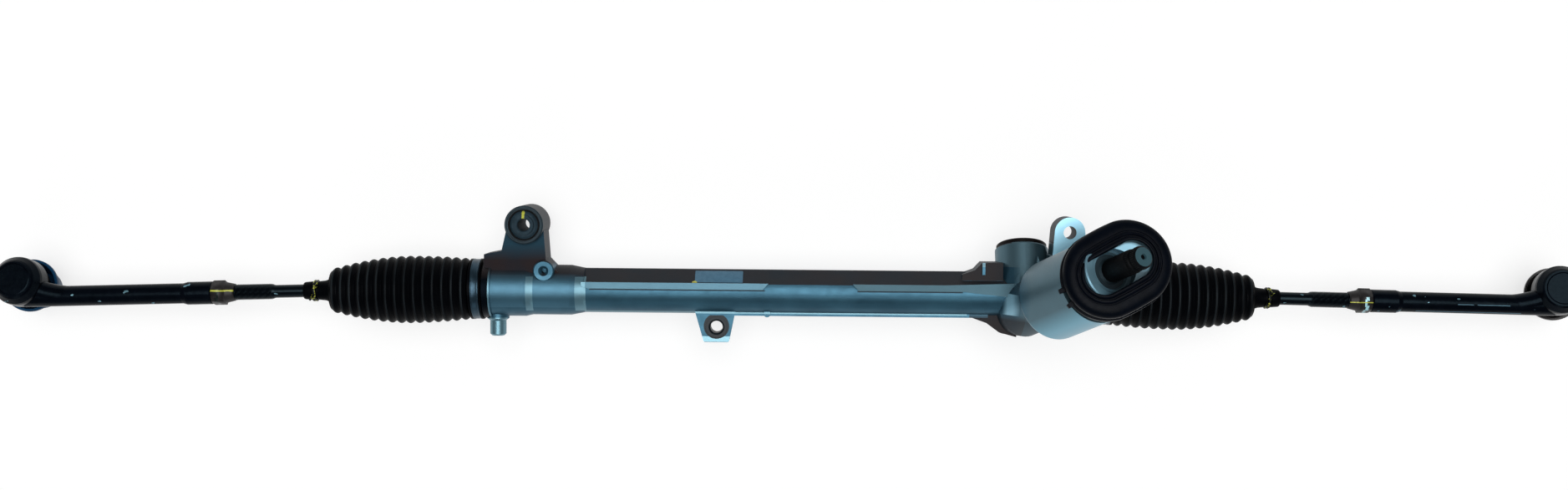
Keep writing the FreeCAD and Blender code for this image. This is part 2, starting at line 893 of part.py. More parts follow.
def pinion_bearings():
    """Lower bush, ball bearing and its two retaining rings."""
    base, along = pinion_point, pinion_direction
    journal_top = -pinion_face / 2 - 6
    bush = ring(lower_bush_radius, journal_radius + slide_gap,
                journal_top - journal_length, journal_top - static_gap, base, along)
    end = bearing_start + bearing_width
    outer_bore = bearing_outer - race_wall
    inner_rim = bearing_inner + race_wall
    middle = (outer_bore + inner_rim) / 2
    centre = base + along * (bearing_start + bearing_width / 2)
    ball_radius = (outer_bore - inner_rim) / 2 + race_groove - slide_gap
    path = Part.makeTorus(middle, ball_radius + slide_gap, centre, along)
    outer = ring(bearing_outer, outer_bore, bearing_start + static_gap, end, base, along).cut(path)
    inner = ring(inner_rim, bearing_inner, bearing_start, end, base, along).cut(path)
    cage = ring(middle + 0.9, middle - 0.9, bearing_start + 3, end - 3, base, along)
    side = along.cross(ALONG).normalize()
    balls = []
    for number in range(bearing_ball_count):
        turn = FreeCAD.Rotation(along, 360.0 * number / bearing_ball_count)
        balls.append(Part.makeSphere(ball_radius, centre + turn.multVec(side) * middle, along))
    clip_low = end + 2 * static_gap
    clip_high = clip_low + clip_thickness - static_gap
    gap = Part.makeBox(30, 8, clip_thickness + 2, Vector(0, -4, clip_low - 1))
    gap = placed(gap, base, along)
    housing_clip = ring(bearing_outer + 1.3, bearing_outer - 2.5, clip_low, clip_high, base, along)
    shaft_clip = ring(bearing_inner + 2, bearing_inner - 0.6, clip_low, clip_high, base, along)
    return {
        "lower_pinion_bush": bush,
        "bearing_outer_race": outer,
        "bearing_inner_race": inner,
        "bearing_balls": cage.fuse(balls),
        "bearing_circlip": housing_clip.cut(gap),
        "shaft_circlip": shaft_clip.cut(gap),
    }


def seal_frame():
    """Centre, axis and turn of the dash seal."""
    normal = Vector(0, sine(seal_tilt), cosine(seal_tilt))
    longways = Vector(cosine(seal_turn), sine(seal_turn), 0)
    longways = (longways - normal * longways.dot(normal)).normalize()
    turn = FreeCAD.Rotation(longways, normal.cross(longways), normal, "ZXY")
    return Vector(seal_x, seal_y, seal_z), normal, longways, turn


def stadium(radius, reach):
    """Flat wire of two half circles and the two lines between them."""
    edges = []
    for side in (1, -1):
        start = Vector(side * reach, -side * radius, 0)
        middle = Vector(side * (reach + radius), 0, 0)
        end = Vector(side * reach, side * radius, 0)
        edges.append(Part.Arc(start, middle, end).toShape())
        edges.append(Part.makeLine(end, Vector(-side * reach, side * radius, 0)))
    return Part.Wire(edges)


def seal_oval(radius, height):
    """Outline of the dash seal at one height above its centre."""
    centre, normal, longways, turn = seal_frame()
    wire = stadium(radius, seal_reach)
    wire.Placement = FreeCAD.Placement(centre + normal * height, turn)
    return wire


def seal_prism(radius, low, high):
    """Straight block of the dash seal's outline."""
    centre, normal, longways, turn = seal_frame()
    return Part.Face(seal_oval(radius, low)).extrude(normal * (high - low))


def tower_cover():
    """Cover pressed in the tower, with the neck that the dash seal grips and the dish in it."""
    plug = tower_bore - static_gap
    seal_low = neck_top - oil_seal_width - 1
    seal_bore = oil_seal_radius + static_gap
    flange_top = tower_top + cover_flange
    cover = turned([
        (tower_top - cover_plug_depth, cover_bore),
        (tower_top - cover_plug_depth, plug),
        (tower_top, plug),
        (tower_top, cover_flange_radius),
        (flange_top, cover_flange_radius),
        (flange_top, neck_radius),
        (neck_top - 1, neck_radius),
        (neck_top, neck_radius - 1),
        (neck_top, seal_bore + 0.8),
        (neck_top - 0.8, seal_bore),
        (seal_low, seal_bore),
        (seal_low, cover_bore),
    ], pinion_point, pinion_direction)
    room = seal_prism(seal_mouth_radius - 1, -seal_half_depth, dish_high)
    rise = rod(neck_radius, neck_top - 1.5, neck_top + 25, pinion_point, pinion_direction)
    dish = seal_prism(seal_mouth_radius - 1, dish_low, dish_high).fuse(rise.common(room))
    way = rod(seal_bore + 0.8, tower_top + cover_flange, neck_top + 40,
              pinion_point, pinion_direction)
    cover = cover.fuse(dish.cut(way)).removeSplitter()
    inner = seal_land_radius + slide_gap
    seal = turned([
        (seal_low + static_gap, inner + 2),
        (seal_low + static_gap, oil_seal_radius),
        (neck_top - 1, oil_seal_radius),
        (neck_top - 1, oil_seal_radius - 2),
        (neck_top - 3, oil_seal_radius - 3),
        (neck_top - 3, inner + 1.5),
        (neck_top - 1, inner),
        (neck_top - 3, inner),
        (neck_top - 4, inner + 1),
    ], pinion_point, pinion_direction)
    return {"tower_cover": cover, "pinion_oil_seal": seal}


def dash_seal():
    """Moulded rubber seal: oval ridged flange on a collar round the tower neck."""
    centre, normal, longways, turn = seal_frame()

    def layer(radius_low, low, radius_high, high):
        return Part.makeLoft([seal_oval(radius_low, low), seal_oval(radius_high, high)],
                             True, True)

    bottom = -seal_half_depth
    groove_low = bottom + seal_base
    ridge_low = groove_low + seal_groove
    lip_low = ridge_low + seal_ridge
    top = lip_low + seal_lip
    waist = seal_radius - seal_groove_depth
    body = layer(seal_radius, bottom, seal_radius, groove_low)
    body = body.fuse([
        layer(waist, groove_low, waist, ridge_low),
        layer(seal_radius - 1, ridge_low, seal_radius - 1, lip_low),
        layer(waist, lip_low, waist - 5, top),
    ])
    along = (longways - pinion_direction * longways.dot(pinion_direction)).normalize()
    neck_turn = FreeCAD.Rotation(along, pinion_direction.cross(along), pinion_direction, "ZXY")
    collar_low = tower_top + cover_flange + static_gap
    foot = stadium(neck_radius + 4, 0.5)
    foot.Placement = FreeCAD.Placement(pinion_point + pinion_direction * collar_low, neck_turn)
    skirt = Part.makeLoft([foot, seal_oval(seal_radius - 5, groove_low)], True, True)
    collar = rod(neck_radius + 3.5, collar_low, neck_top - 2, pinion_point, pinion_direction)
    neck = rod(neck_radius + static_gap, tower_top, neck_top + 1, pinion_point, pinion_direction)
    shaft_way = rod(neck_radius - 3, neck_top, neck_top + 40, pinion_point, pinion_direction)
    clear = rod(tower_large_radius + soft_gap, tower_bottom, collar_low,
                tower_point, pinion_direction)
    mouth = seal_prism(seal_mouth_radius, bottom - 1, top + 1)
    dish_room = seal_prism(seal_mouth_radius - 0.9, dish_low - slide_gap, top + 1)
    body = body.fuse(skirt).cut(mouth).fuse(collar)
    return body.cut([neck, shaft_way, clear, dish_room]).removeSplitter()


def yoke_parts():
    """Spring-loaded yoke, adjuster plug and lock cap, in line behind the rack."""
    base, along = mesh_point, yoke_direction
    saddle = rack_radius + slide_gap + yoke_liner
    spring_seat = yoke_back - 8
    body = turned([
        (3, 0),
        (3, yoke_radius - 1),
        (4, yoke_radius),
        (yoke_back, yoke_radius),
        (yoke_back, spring_radius + spring_wire + 1),
        (spring_seat, spring_radius + spring_wire + 1),
        (spring_seat, 0),
    ], base, along)
    body = body.cut(rod(saddle + static_gap, mesh_x - 25, mesh_x + 25))
    shell = ring(saddle, rack_radius + slide_gap, mesh_x - 25, mesh_x + 25)
    liner = shell.common(rod(yoke_radius - 1.5, 4, yoke_back, base, along))
    helix_pitch = (plug_start - spring_seat - 2 * spring_wire - 0.2) / spring_turns
    coil = Part.makeHelix(helix_pitch, helix_pitch * spring_turns, spring_radius)
    section = Part.Wire(Part.Circle(Vector(spring_radius, 0, 0), FORWARD, spring_wire).toShape())
    spring = Part.Wire(coil).makePipeShell([section], True, True)
    spring = placed(spring, base + along * (spring_seat + spring_wire + 0.1), along)
    groove = plug_radius - ring_section - 0.4
    plug = turned([
        (plug_start, 0),
        (plug_start, plug_radius),
        (plug_start + 2, plug_radius),
        (plug_start + 2, groove),
        (plug_start + 5, groove),
        (plug_start + 5, plug_radius),
        (yoke_boss_length - 1, plug_radius),
        (yoke_boss_length - 1, 0),
    ], base, along)
    socket = hexagon(plug_socket_across, yoke_boss_length - 6, yoke_boss_length, base, along)
    half = ring_section - static_gap
    bulge = plug_start + 3.5
    seal = turned([
        (bulge - half, groove + static_gap),
        (bulge - half, plug_radius - half),
        ((bulge, plug_radius), (bulge + half, plug_radius - half)),
        (bulge + half, groove + static_gap),
    ], base, along)
    cap_top = yoke_boss_length + yoke_cap_height
    rim = yoke_boss_radius - yoke_cap_rim
    cap = turned([
        (yoke_boss_length - 1, 0),
        (yoke_boss_length - 1, plug_radius - 0.5),
        (yoke_boss_length + static_gap, plug_radius - 0.5),
        (yoke_boss_length + static_gap, rim),
        (cap_top - 1, rim),
        (cap_top, rim - 1),
        (cap_top, 0),
    ], base, along)
    return {
        "yoke": body,
        "yoke_liner": liner,
        "yoke_spring": spring,
        "yoke_plug": plug.cut(socket),
        "yoke_o_ring": seal,
        "yoke_cap": cap,
    }


def inner_joint(ball_centre, outward, rod_direction):
    """Socket on the rack end and the plastic seat in it."""
    back = -socket_back
    cavity = inner_seat_radius + slide_gap
    socket = turned([
        (back - socket_shank_length, 0),
        (back - socket_shank_length, socket_shank_radius),
        (back, socket_shank_radius),
        (back, socket_radius - 1),
        (back + 1, socket_radius),
        (socket_mouth - 4, socket_radius),
        (socket_mouth, socket_radius - 2),
        on_circle(cavity, socket_mouth),
        (on_circle(cavity, -cavity / 2), (-cavity, 0)),
    ], ball_centre, outward)
    flats = [
        Part.makeBox(socket_flat_length, 2 * socket_radius, socket_radius,
                     Vector(back + 3, -socket_radius, side))
        for side in (socket_flat_across / 2, -socket_flat_across / 2 - socket_radius)
    ]
    turn = FreeCAD.Rotation(ALONG, outward)
    for flat in flats:
        flat.Placement = FreeCAD.Placement(ball_centre, turn).multiply(flat.Placement)
    inner = inner_ball_radius + slide_gap
    seat = turned([
        (-inner_seat_radius, 0),
        (on_circle(inner_seat_radius, -inner_seat_radius / 2),
         on_circle(inner_seat_radius, seat_mouth)),
        on_circle(inner, seat_mouth),
        (on_circle(inner, -inner / 2), (-inner, 0)),
    ], ball_centre, rod_direction)
    return socket.cut(flats), seat


def tie_rod(ball_centre, along):
    """Ball, neck, plain rod and adjuster thread."""
    end = rod_end_start + rod_thread_overlap
    neck_start = math.sqrt(inner_ball_radius ** 2 - rod_neck_radius ** 2)
    return turned([
        (-inner_ball_radius, 0),
        ((0, inner_ball_radius), (neck_start, rod_neck_radius)),
        (inner_ball_radius + 8, rod_neck_radius),
        (inner_ball_radius + 12, rod_radius),
        (rod_thread_start - 2, rod_radius),
        (rod_thread_start, rod_thread_radius),
        (end - 1.5, rod_thread_radius),
        (end, rod_thread_radius - 1.5),
        (end, 0),
    ], ball_centre, along)


def jam_nut(ball_centre, along):
    """Hexagon nut with a cone towards the rack."""
    end = rod_end_start - static_gap
    start = end - jam_nut_length
    corner = jam_nut_across / 2 / cosine(30)
    hexagon_bar = hexagon(jam_nut_across, start, end, ball_centre, along)
    rounding = turned([
        (start, 0),
        (start, corner),
        (end - 1.2, corner),
        (end, jam_nut_across / 2),
        (end, 0),
    ], ball_centre, along)
    cone = turned([
        (start - jam_nut_cone, 0),
        (start - jam_nut_cone, rod_thread_radius + 1.2),
        (start, jam_nut_across / 2 - 0.3),
        (start, 0),
    ], ball_centre, along)
    bore = rod(rod_thread_radius + static_gap, start - jam_nut_cone - 1, end + 1,
               ball_centre, along)
    return hexagon_bar.common(rounding).fuse(cone).cut(bore)


def rod_end(ball_centre, along, sideways, eye_centre, stud_direction):
    """Forged rod end: threaded shank, blend and the eye of the outer joint."""
    start = rod_end_start
    thick_end = start + rod_end_thick_length
    eye_distance = (eye_centre - ball_centre).dot(along)
    shank = turned([
        (start, 0),
        (start, rod_end_thick_radius - 1),
        (start + 1, rod_end_thick_radius),
        (thick_end, rod_end_thick_radius),
        (thick_end + 4, rod_end_radius),
        (eye_distance - 4, rod_end_radius),
        (eye_distance + 4, rod_end_radius - 5),
        (eye_distance + 4, 0),
    ], ball_centre, along)

    def section(radius, distance, offset):
        middle = ball_centre + along * distance + sideways * offset
        return Part.Wire(Part.Circle(middle, along, radius).toShape())

    blend = Part.makeLoft([
        section(rod_end_radius - 0.4, eye_distance - 2.2 * eye_radius, 0),
        section(rod_end_radius + 0.4, eye_distance - 1.3 * eye_radius, eye_offset * 0.15),
        section(rod_end_radius + 1.2, eye_distance - eye_radius * 0.5, eye_offset * 0.6),
    ], True, False)
    below = rod(eye_radius + 3, eye_depth, eye_depth + eye_radius, eye_centre, stud_direction)
    crown = turned([
        (-eye_height, 0),
        (-eye_height, eye_cover_radius + 1.5),
        (-eye_height + 1.5, eye_cover_radius + 3),
        (-eye_height + eye_crown, eye_radius - 0.5),
        (-eye_height + eye_crown + 3, eye_radius),
        (eye_depth - 3, eye_radius),
        (eye_depth, eye_radius - 3),
        (eye_depth, eye_spigot_radius),
        (eye_spigot_depth, eye_spigot_radius),
        (eye_spigot_depth, 0),
    ], eye_centre, stud_direction)
    cavity = outer_seat_radius + slide_gap
    cover_low = -eye_height + eye_cover_thickness + static_gap
    hollow = turned([
        (-eye_height - 1, 0),
        (-eye_height - 1, eye_cover_radius + static_gap),
        (cover_low, eye_cover_radius + static_gap),
        (cover_low, cavity),
        (0, cavity),
        (on_circle(cavity, eye_throat / 2), on_circle(cavity, eye_throat)),
        (eye_spigot_depth + 1, on_circle(cavity, eye_throat)[1] + 2.5),
        (eye_spigot_depth + 1, 0),
    ], eye_centre, stud_direction)
    thread_hole = rod(rod_thread_radius + static_gap, start - 1, start + rod_thread_overlap + 3,
                      ball_centre, along)
    return shank.fuse(blend).cut(below).fuse(crown).cut([hollow, thread_hole])


def outer_joint(eye_centre, stud_direction):
    """Cover, seat, stud, dust boot, its ring and the transit cap."""
    top = -eye_height
    cover = turned([
        (top, 0),
        (top, eye_cover_radius - 1),
        (top + 0.4, eye_cover_radius),
        (top + eye_cover_thickness, eye_cover_radius),
        (top + eye_cover_thickness, 0),
    ], eye_centre, stud_direction)
    inner = outer_ball_radius + slide_gap
    seat = turned([
        on_circle(outer_seat_radius, -stud_seat_top),
        ((0, outer_seat_radius), on_circle(outer_seat_radius, stud_seat_mouth)),
        on_circle(inner, stud_seat_mouth),
        ((0, inner), on_circle(inner, -stud_seat_top)),
    ], eye_centre, stud_direction)
    neck_start = math.sqrt(outer_ball_radius ** 2 - stud_neck_radius ** 2)
    stud = turned([
        (-outer_ball_radius, 0),
        ((0, outer_ball_radius), (neck_start, stud_neck_radius)),
        (stud_taper_start - 8, stud_neck_radius),
        (stud_taper_start - 5, stud_taper_radius),
        (stud_taper_start, stud_taper_radius),
        (stud_taper_end, stud_taper_small),
        (stud_taper_end, stud_thread_radius),
        (stud_tip - 1, stud_thread_radius),
        (stud_tip, stud_thread_radius - 1),
        (stud_tip, 0),
    ], eye_centre, stud_direction)
    cuff_in = eye_spigot_radius + soft_gap / 2
    cuff_out = cuff_in + 1.7
    boot = turned([
        (eye_depth + soft_gap, cuff_in),
        (eye_depth + soft_gap, cuff_out),
        (eye_spigot_depth + 0.3, cuff_out),
        (eye_spigot_depth + 2, cuff_out + 1.2),
        (eye_spigot_depth + 5, cuff_out + 0.2),
        (stud_taper_start - 3, stud_taper_radius + 2.8),
        (stud_taper_start, stud_taper_radius + 1.8),
        (stud_taper_start, stud_taper_radius + soft_gap / 2),
        (stud_taper_start - 4, stud_taper_radius + soft_gap / 2),
        (eye_spigot_depth + 3.5, cuff_in - 0.4),
        (eye_spigot_depth + 0.5, cuff_in),
    ], eye_centre, stud_direction)
    band = eye_depth + 1.2
    boot_ring = turned([
        (band, cuff_out + static_gap),
        (band, cuff_out + 0.7),
        (band + 0.4, cuff_out + 1.0),
        (band + 1.4, cuff_out + 1.0),
        (band + 1.8, cuff_out + 0.7),
        (band + 1.8, cuff_out + static_gap),
    ], eye_centre, stud_direction)
    hold = stud_thread_radius + static_gap
    inner_end = cap_end - cap_wall
    cap = turned([
        (cap_rim_start, cap_rim_radius - cap_wall),
        (cap_rim_start, cap_rim_radius),
        (cap_rim_start + 3, cap_rim_radius),
        (cap_rim_start + 5, cap_rim_radius - 1.5),
        (cap_end - 5, cap_rim_radius - 6.5),
        (cap_end, cap_rim_radius - 11),
        (cap_end, 0),
        (inner_end, 0),
        (inner_end, hold),
        (stud_taper_end + 2, hold),
        (stud_taper_end + 2, hold + cap_wall),
        (inner_end - 1, hold + cap_wall),
        (inner_end - 1, cap_rim_radius - 12.5),
        (cap_end - 6, cap_rim_radius - 8.7),
        (cap_rim_start + 5, cap_rim_radius - 3.5),
    ], eye_centre, stud_direction)
    return {
        "rod_end_cover": cover,
        "stud_seat": seat,
        "ball_stud": stud,
        "dust_boot": boot,
        "boot_ring": boot_ring,
        "transit_cap": cap,
    }


def crest_radius(share):
    """Radius of the bellows crests, by share of the length from the mouth."""
    peak_share = 0.45
    if share < peak_share:
        return bellows_peak - 2.9 * ((peak_share - share) / peak_share) ** 2
    fall = bellows_peak - bellows_last_crest
    return bellows_peak - fall * ((share - peak_share) / (1 - peak_share)) ** 1.8


def bellows(mouth, neck_middle):
    """Folded rubber gaiter from the housing mouth to the tie rod."""
    line = neck_middle - mouth
    direction = Vector(line.x, line.y, line.z).normalize()
    length = bellows_length + bellows_neck_length
    cuff_in = spigot_radius + soft_gap
    groove = cuff_radius - clamp_thickness - static_gap
    clamp_low = -cuff_length / 2 - clamp_width / 2 - static_gap
    clamp_high = -cuff_length / 2 + clamp_width / 2 + static_gap
    start = -cuff_length + cuff_end_gap
    outer = [
        (start, cuff_in),
        (start, cuff_radius),
        (clamp_low, cuff_radius),
        (clamp_low, groove),
        (clamp_high, groove),
        (clamp_high, cuff_radius),
    ]
    pitch = bellows_length / bellows_folds
    inner = []
    for fold in range(bellows_folds):
        root_at = fold * pitch + 1
        crest_at = root_at + pitch / 2
        crest = crest_radius(crest_at / bellows_length)
        root = crest_radius(root_at / bellows_length) - fold_depth
        outer += [(root_at, root), (crest_at, crest)]
        if fold % 3 == 0:
            inner.append((root_at + 0.5, root - bellows_wall))
    neck_in = rod_radius + soft_gap
    shoulder = bellows_length + 3
    outer += [
        (bellows_length, bellows_last_crest),
        (shoulder, bellows_neck_radius),
        (shoulder + 8, bellows_neck_radius - neck_draft + 0.6),
        (length, bellows_neck_radius - neck_draft),
        (length, neck_in),
    ]
    inner.append((bellows_length - 1, bellows_last_crest - fold_depth - bellows_wall))
    inner.append((shoulder + 1, neck_in))
    outline = outer + inner[::-1] + [(soft_gap, cuff_in)]
    return turned(outline, mouth, direction), direction


def bellows_clamp(mouth, direction):
    """Crimped steel band on the big end, with its ear."""
    low = -cuff_length / 2 - clamp_width / 2
    high = -cuff_length / 2 + clamp_width / 2
    inner = cuff_radius - clamp_thickness
    band = ring(cuff_radius, inner, low, high, mouth, direction)
    ear = Part.makeBox(clamp_width - 1, 3.0, 4.5)
    ear.translate(Vector(-(clamp_width - 1) / 2, -1.5, cuff_radius - 0.3))
    ear.rotate(ORIGIN, ALONG, 40)
    ear.translate(mouth - direction * (cuff_length / 2))
    return band.fuse(ear)


def bellows_clip(ball_centre, along):
    """Spring clip of two wire turns on the bellows neck, with two finger tangs."""
    neck = bellows_neck_radius - neck_draft + 0.5 + static_gap
    middle = neck + clip_wire
    low = clip_place - clip_wire
    high = clip_place + clip_wire
    band = turned([
        (low, neck),
        (high, neck),
        ((high + clip_wire, middle), (high, middle + clip_wire)),
        (low, middle + clip_wire),
        ((low - clip_wire, middle), (low, neck)),
    ], ball_centre, along)
    tangs = []
    for place, turn in ((low, 20), (high, -20)):
        heading = FreeCAD.Rotation(along, turn).multVec(UP)
        foot = ball_centre + along * place + heading * middle
        tangs.append(rod(clip_wire * 0.9, 0, clip_tang, foot, heading))
    return band.fuse(tangs)


def side_parts(name, sign, droop, eye_distance, lean_out):
    """Every piece from the rack end outwards on one side."""
    outward = ALONG * sign
    along = Vector(sign * cosine(droop), -sine(droop), 0)
    sideways = Vector(sign * sine(droop), cosine(droop), 0)
    ball_centre = Vector(rack_centre + sign * ball_distance, 0, 0)
    mouth = Vector(rack_centre + sign * mouth_distance, 0, 0)
    eye_centre = ball_centre + along * eye_distance + sideways * eye_offset
    stud_up = Vector(-sign * tangent(lean_out), tangent(stud_lean_side), 1).normalize()
    stud_direction = stud_up * -1
    neck_middle = ball_centre + along * clip_place
    gaiter, gaiter_direction = bellows(mouth, neck_middle)
    socket, seat = inner_joint(ball_centre, outward, along)
    parts = {
        "bellows": gaiter,
        "bellows_clamp": bellows_clamp(mouth, gaiter_direction),
        "bellows_clip": bellows_clip(ball_centre, along),
        "inner_socket": socket,
        "inner_seat": seat,
        "tie_rod": tie_rod(ball_centre, along),
        "jam_nut": jam_nut(ball_centre, along),
        "rod_end": rod_end(ball_centre, along, sideways, eye_centre, stud_direction),
    }
    parts.update(outer_joint(eye_centre, stud_direction))
    return {f"{name}_{piece}": shape for piece, shape in parts.items()}


def all_parts():
    parts = {
        "rack_housing": rack_housing(),
        "rack_bar": rack_bar(),
        "pinion_shaft": pinion_shaft(),
        "dash_seal": dash_seal(),
    }
    for group in (mount_bush(), rack_bush(), pinion_bearings(), tower_cover(), yoke_parts()):
        parts.update(group)
    parts.update(side_parts("left", -1, left_droop, left_eye_distance, left_lean_out))
    parts.update(side_parts("right", 1, right_droop, right_eye_distance, right_lean_out))
    return parts


def export_parts():
    """Move the origin to the left mounting bore and write one file per piece."""
    os.makedirs("parts", exist_ok=True)
    middle = (ear_low + ear_high) / 2
    shift = Vector(-ear_x, -ear_y, -middle)
    for name, shape in sorted(all_parts().items()):
        shape.translate(shift)
        shape.exportStep(f"parts/{name}.step")
        print(f"{name}: {shape.Volume / 1000:.2f} cm3, {len(shape.Solids)} solid, "
              f"valid {shape.isValid()}")


export_parts()
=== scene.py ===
# %% [markdown]
# # A steering rack, dressed for its photograph
# The gear lies on white and is seen from above: an aluminium housing with a pinion
# tower, a rubber bellows at each end and a black tie rod with its outer ball joint.
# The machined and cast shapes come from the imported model. This script adds what a
# camera sees on top of them: rubber folds, threads, serrations, clamps, a label,
# paint marks and a finish for every piece.

import math

import bmesh
import bpy
from mathutils import Matrix, Vector


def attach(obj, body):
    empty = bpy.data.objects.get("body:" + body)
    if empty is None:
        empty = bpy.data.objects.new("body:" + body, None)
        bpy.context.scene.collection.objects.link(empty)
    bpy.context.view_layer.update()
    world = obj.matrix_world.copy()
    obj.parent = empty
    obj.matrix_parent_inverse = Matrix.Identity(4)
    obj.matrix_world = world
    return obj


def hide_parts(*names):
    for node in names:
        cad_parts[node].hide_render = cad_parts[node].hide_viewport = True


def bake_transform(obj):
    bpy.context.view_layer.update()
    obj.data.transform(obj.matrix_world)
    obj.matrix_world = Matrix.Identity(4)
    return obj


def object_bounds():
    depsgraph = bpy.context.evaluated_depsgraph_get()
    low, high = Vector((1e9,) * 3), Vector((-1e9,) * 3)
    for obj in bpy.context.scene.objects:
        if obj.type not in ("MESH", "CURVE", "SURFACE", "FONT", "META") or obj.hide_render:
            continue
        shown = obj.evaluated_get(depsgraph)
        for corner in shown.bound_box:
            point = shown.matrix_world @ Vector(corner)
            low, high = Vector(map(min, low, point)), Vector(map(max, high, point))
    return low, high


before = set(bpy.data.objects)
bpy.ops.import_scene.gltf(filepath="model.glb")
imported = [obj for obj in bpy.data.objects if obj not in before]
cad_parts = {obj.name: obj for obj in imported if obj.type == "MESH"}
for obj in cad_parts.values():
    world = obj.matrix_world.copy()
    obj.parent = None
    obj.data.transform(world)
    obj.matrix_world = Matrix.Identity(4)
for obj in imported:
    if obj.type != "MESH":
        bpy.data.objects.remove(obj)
cad_box = [list(corner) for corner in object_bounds()]
print("the packed model spans", [round(b - a, 4) for a, b in zip(*cad_box)], "m")

# %% [markdown]
# ## Where things are
# The gear is drawn about the rack's own axis in millimetres, as a maker would.
# Blender works in metres from the left mounting bore, so one helper moves a point
# from the first to the second. The pinion and the yoke each have a direction of
# their own, and both cross the rack at the same place.

# %% Sizes and directions
MM = 0.001
SHIFT = Vector((221.5, -56.7, 1.5))
MESH_X = 207.0
PINION_LEAN = math.radians(26)
YOKE_TILT = math.radians(21)
SHAFT_SPREAD = 14.0


def row(x, y, z):
    """A point of the rack's own frame, in metres from the left mounting bore."""
    return (Vector((x, y, z)) + SHIFT) * MM


ALONG = Vector((1, 0, 0))
UP = Vector((0, 0, 1))
YOKE_WAY = Vector((0, math.cos(YOKE_TILT), -math.sin(YOKE_TILT)))
MESH_POINT = Vector((MESH_X, 0, 0))
PINION_POINT = MESH_POINT - YOKE_WAY * SHAFT_SPREAD
PINION_WAY = Vector((math.tan(PINION_LEAN), math.tan(YOKE_TILT), 1)).normalized()
print("the pinion leans", round(math.degrees(PINION_WAY.angle(UP)), 1), "degrees")


def turn_to(direction, about=0.0):
    """Rotation that takes local Z to a direction."""
    quaternion = UP.rotation_difference(Vector(direction))
    return quaternion.to_matrix().to_4x4() @ Matrix.Rotation(about, 4, "Z")


def place(mesh, base, direction=UP, about=0.0):
    """Move a mesh drawn in millimetres along local Z to its place in the row frame."""
    move = Matrix.Translation(row(*base)) @ turn_to(direction, about)
    mesh.transform(move @ Matrix.Scale(MM, 4))
    return mesh


# %% [markdown]
# ## Arithmetic that writes node trees
# Materials and Geometry Nodes both need sums of many small values. A node for each
# sum is easy to get wrong by hand, so a value in a tree is wrapped once, and plain
# Python arithmetic on it then adds the Math nodes.

# %% Values in a node tree
class Value:
    """A socket of a node tree that takes part in Python arithmetic."""

    def __init__(self, tree, socket):
        self.tree = tree
        self.socket = socket

    def math(self, operation, *others):
        node = self.tree.nodes.new("ShaderNodeMath")
        node.operation = operation
        for slot, value in zip(node.inputs, (self,) + others):
            feed(self.tree, slot, value)
        return Value(self.tree, node.outputs[0])

    def __add__(self, other):
        return self.math("ADD", other)

    def __mul__(self, other):
        return self.math("MULTIPLY", other)

    def __sub__(self, other):
        return self.math("SUBTRACT", other)

    def __truediv__(self, other):
        return self.math("DIVIDE", other)

    def __pow__(self, other):
        return self.math("POWER", other)

    def __neg__(self):
        return self.math("MULTIPLY", -1.0)

    def __abs__(self):
        return self.math("ABSOLUTE")

    __radd__ = __add__
    __rmul__ = __mul__

    def from_one(self):
        """One minus the value."""
        return -self + 1.0

    def below(self, limit):
        return self.math("LESS_THAN", limit)

    def above(self, limit):
        return self.math("GREATER_THAN", limit)

    def at_most(self, limit):
        return self.math("MINIMUM", limit)

    def at_least(self, limit):
        return self.math("MAXIMUM", limit)

    def clamped(self):
        """The value kept between nought and one."""
        node = new_node(self.tree, "ShaderNodeClamp", Value=self)
        return Value(self.tree, node.outputs["Result"])


def feed(tree, slot, value):
    """Link a value or a socket to an input, or write a plain number there."""
    if isinstance(value, Value):
        value = value.socket
    if isinstance(value, bpy.types.NodeSocket):
        tree.links.new(value, slot)
    else:
        slot.default_value = value


def feed_all(tree, node, **inputs):
    """Feed inputs by name, with an underscore for each space."""
    for label, value in inputs.items():
        feed(tree, node.inputs[label.replace("_", " ")], value)
    return node


def new_node(tree, kind, **inputs):
    """New node with its inputs fed by name."""
    return feed_all(tree, tree.nodes.new(kind), **inputs)


print("sums of values now write their own nodes")

# %% [markdown]
# ## Finishes
# Every surface on a car part varies: a casting is blotchy and finely grained, a
# forging has thick glossy paint, rubber is dull with a bloom. Each finish mixes two
# close colours by a slow noise, moves the roughness by another and raises a fine
# grain as bump. All of it reads Object coordinates, so it stays on a moving piece.

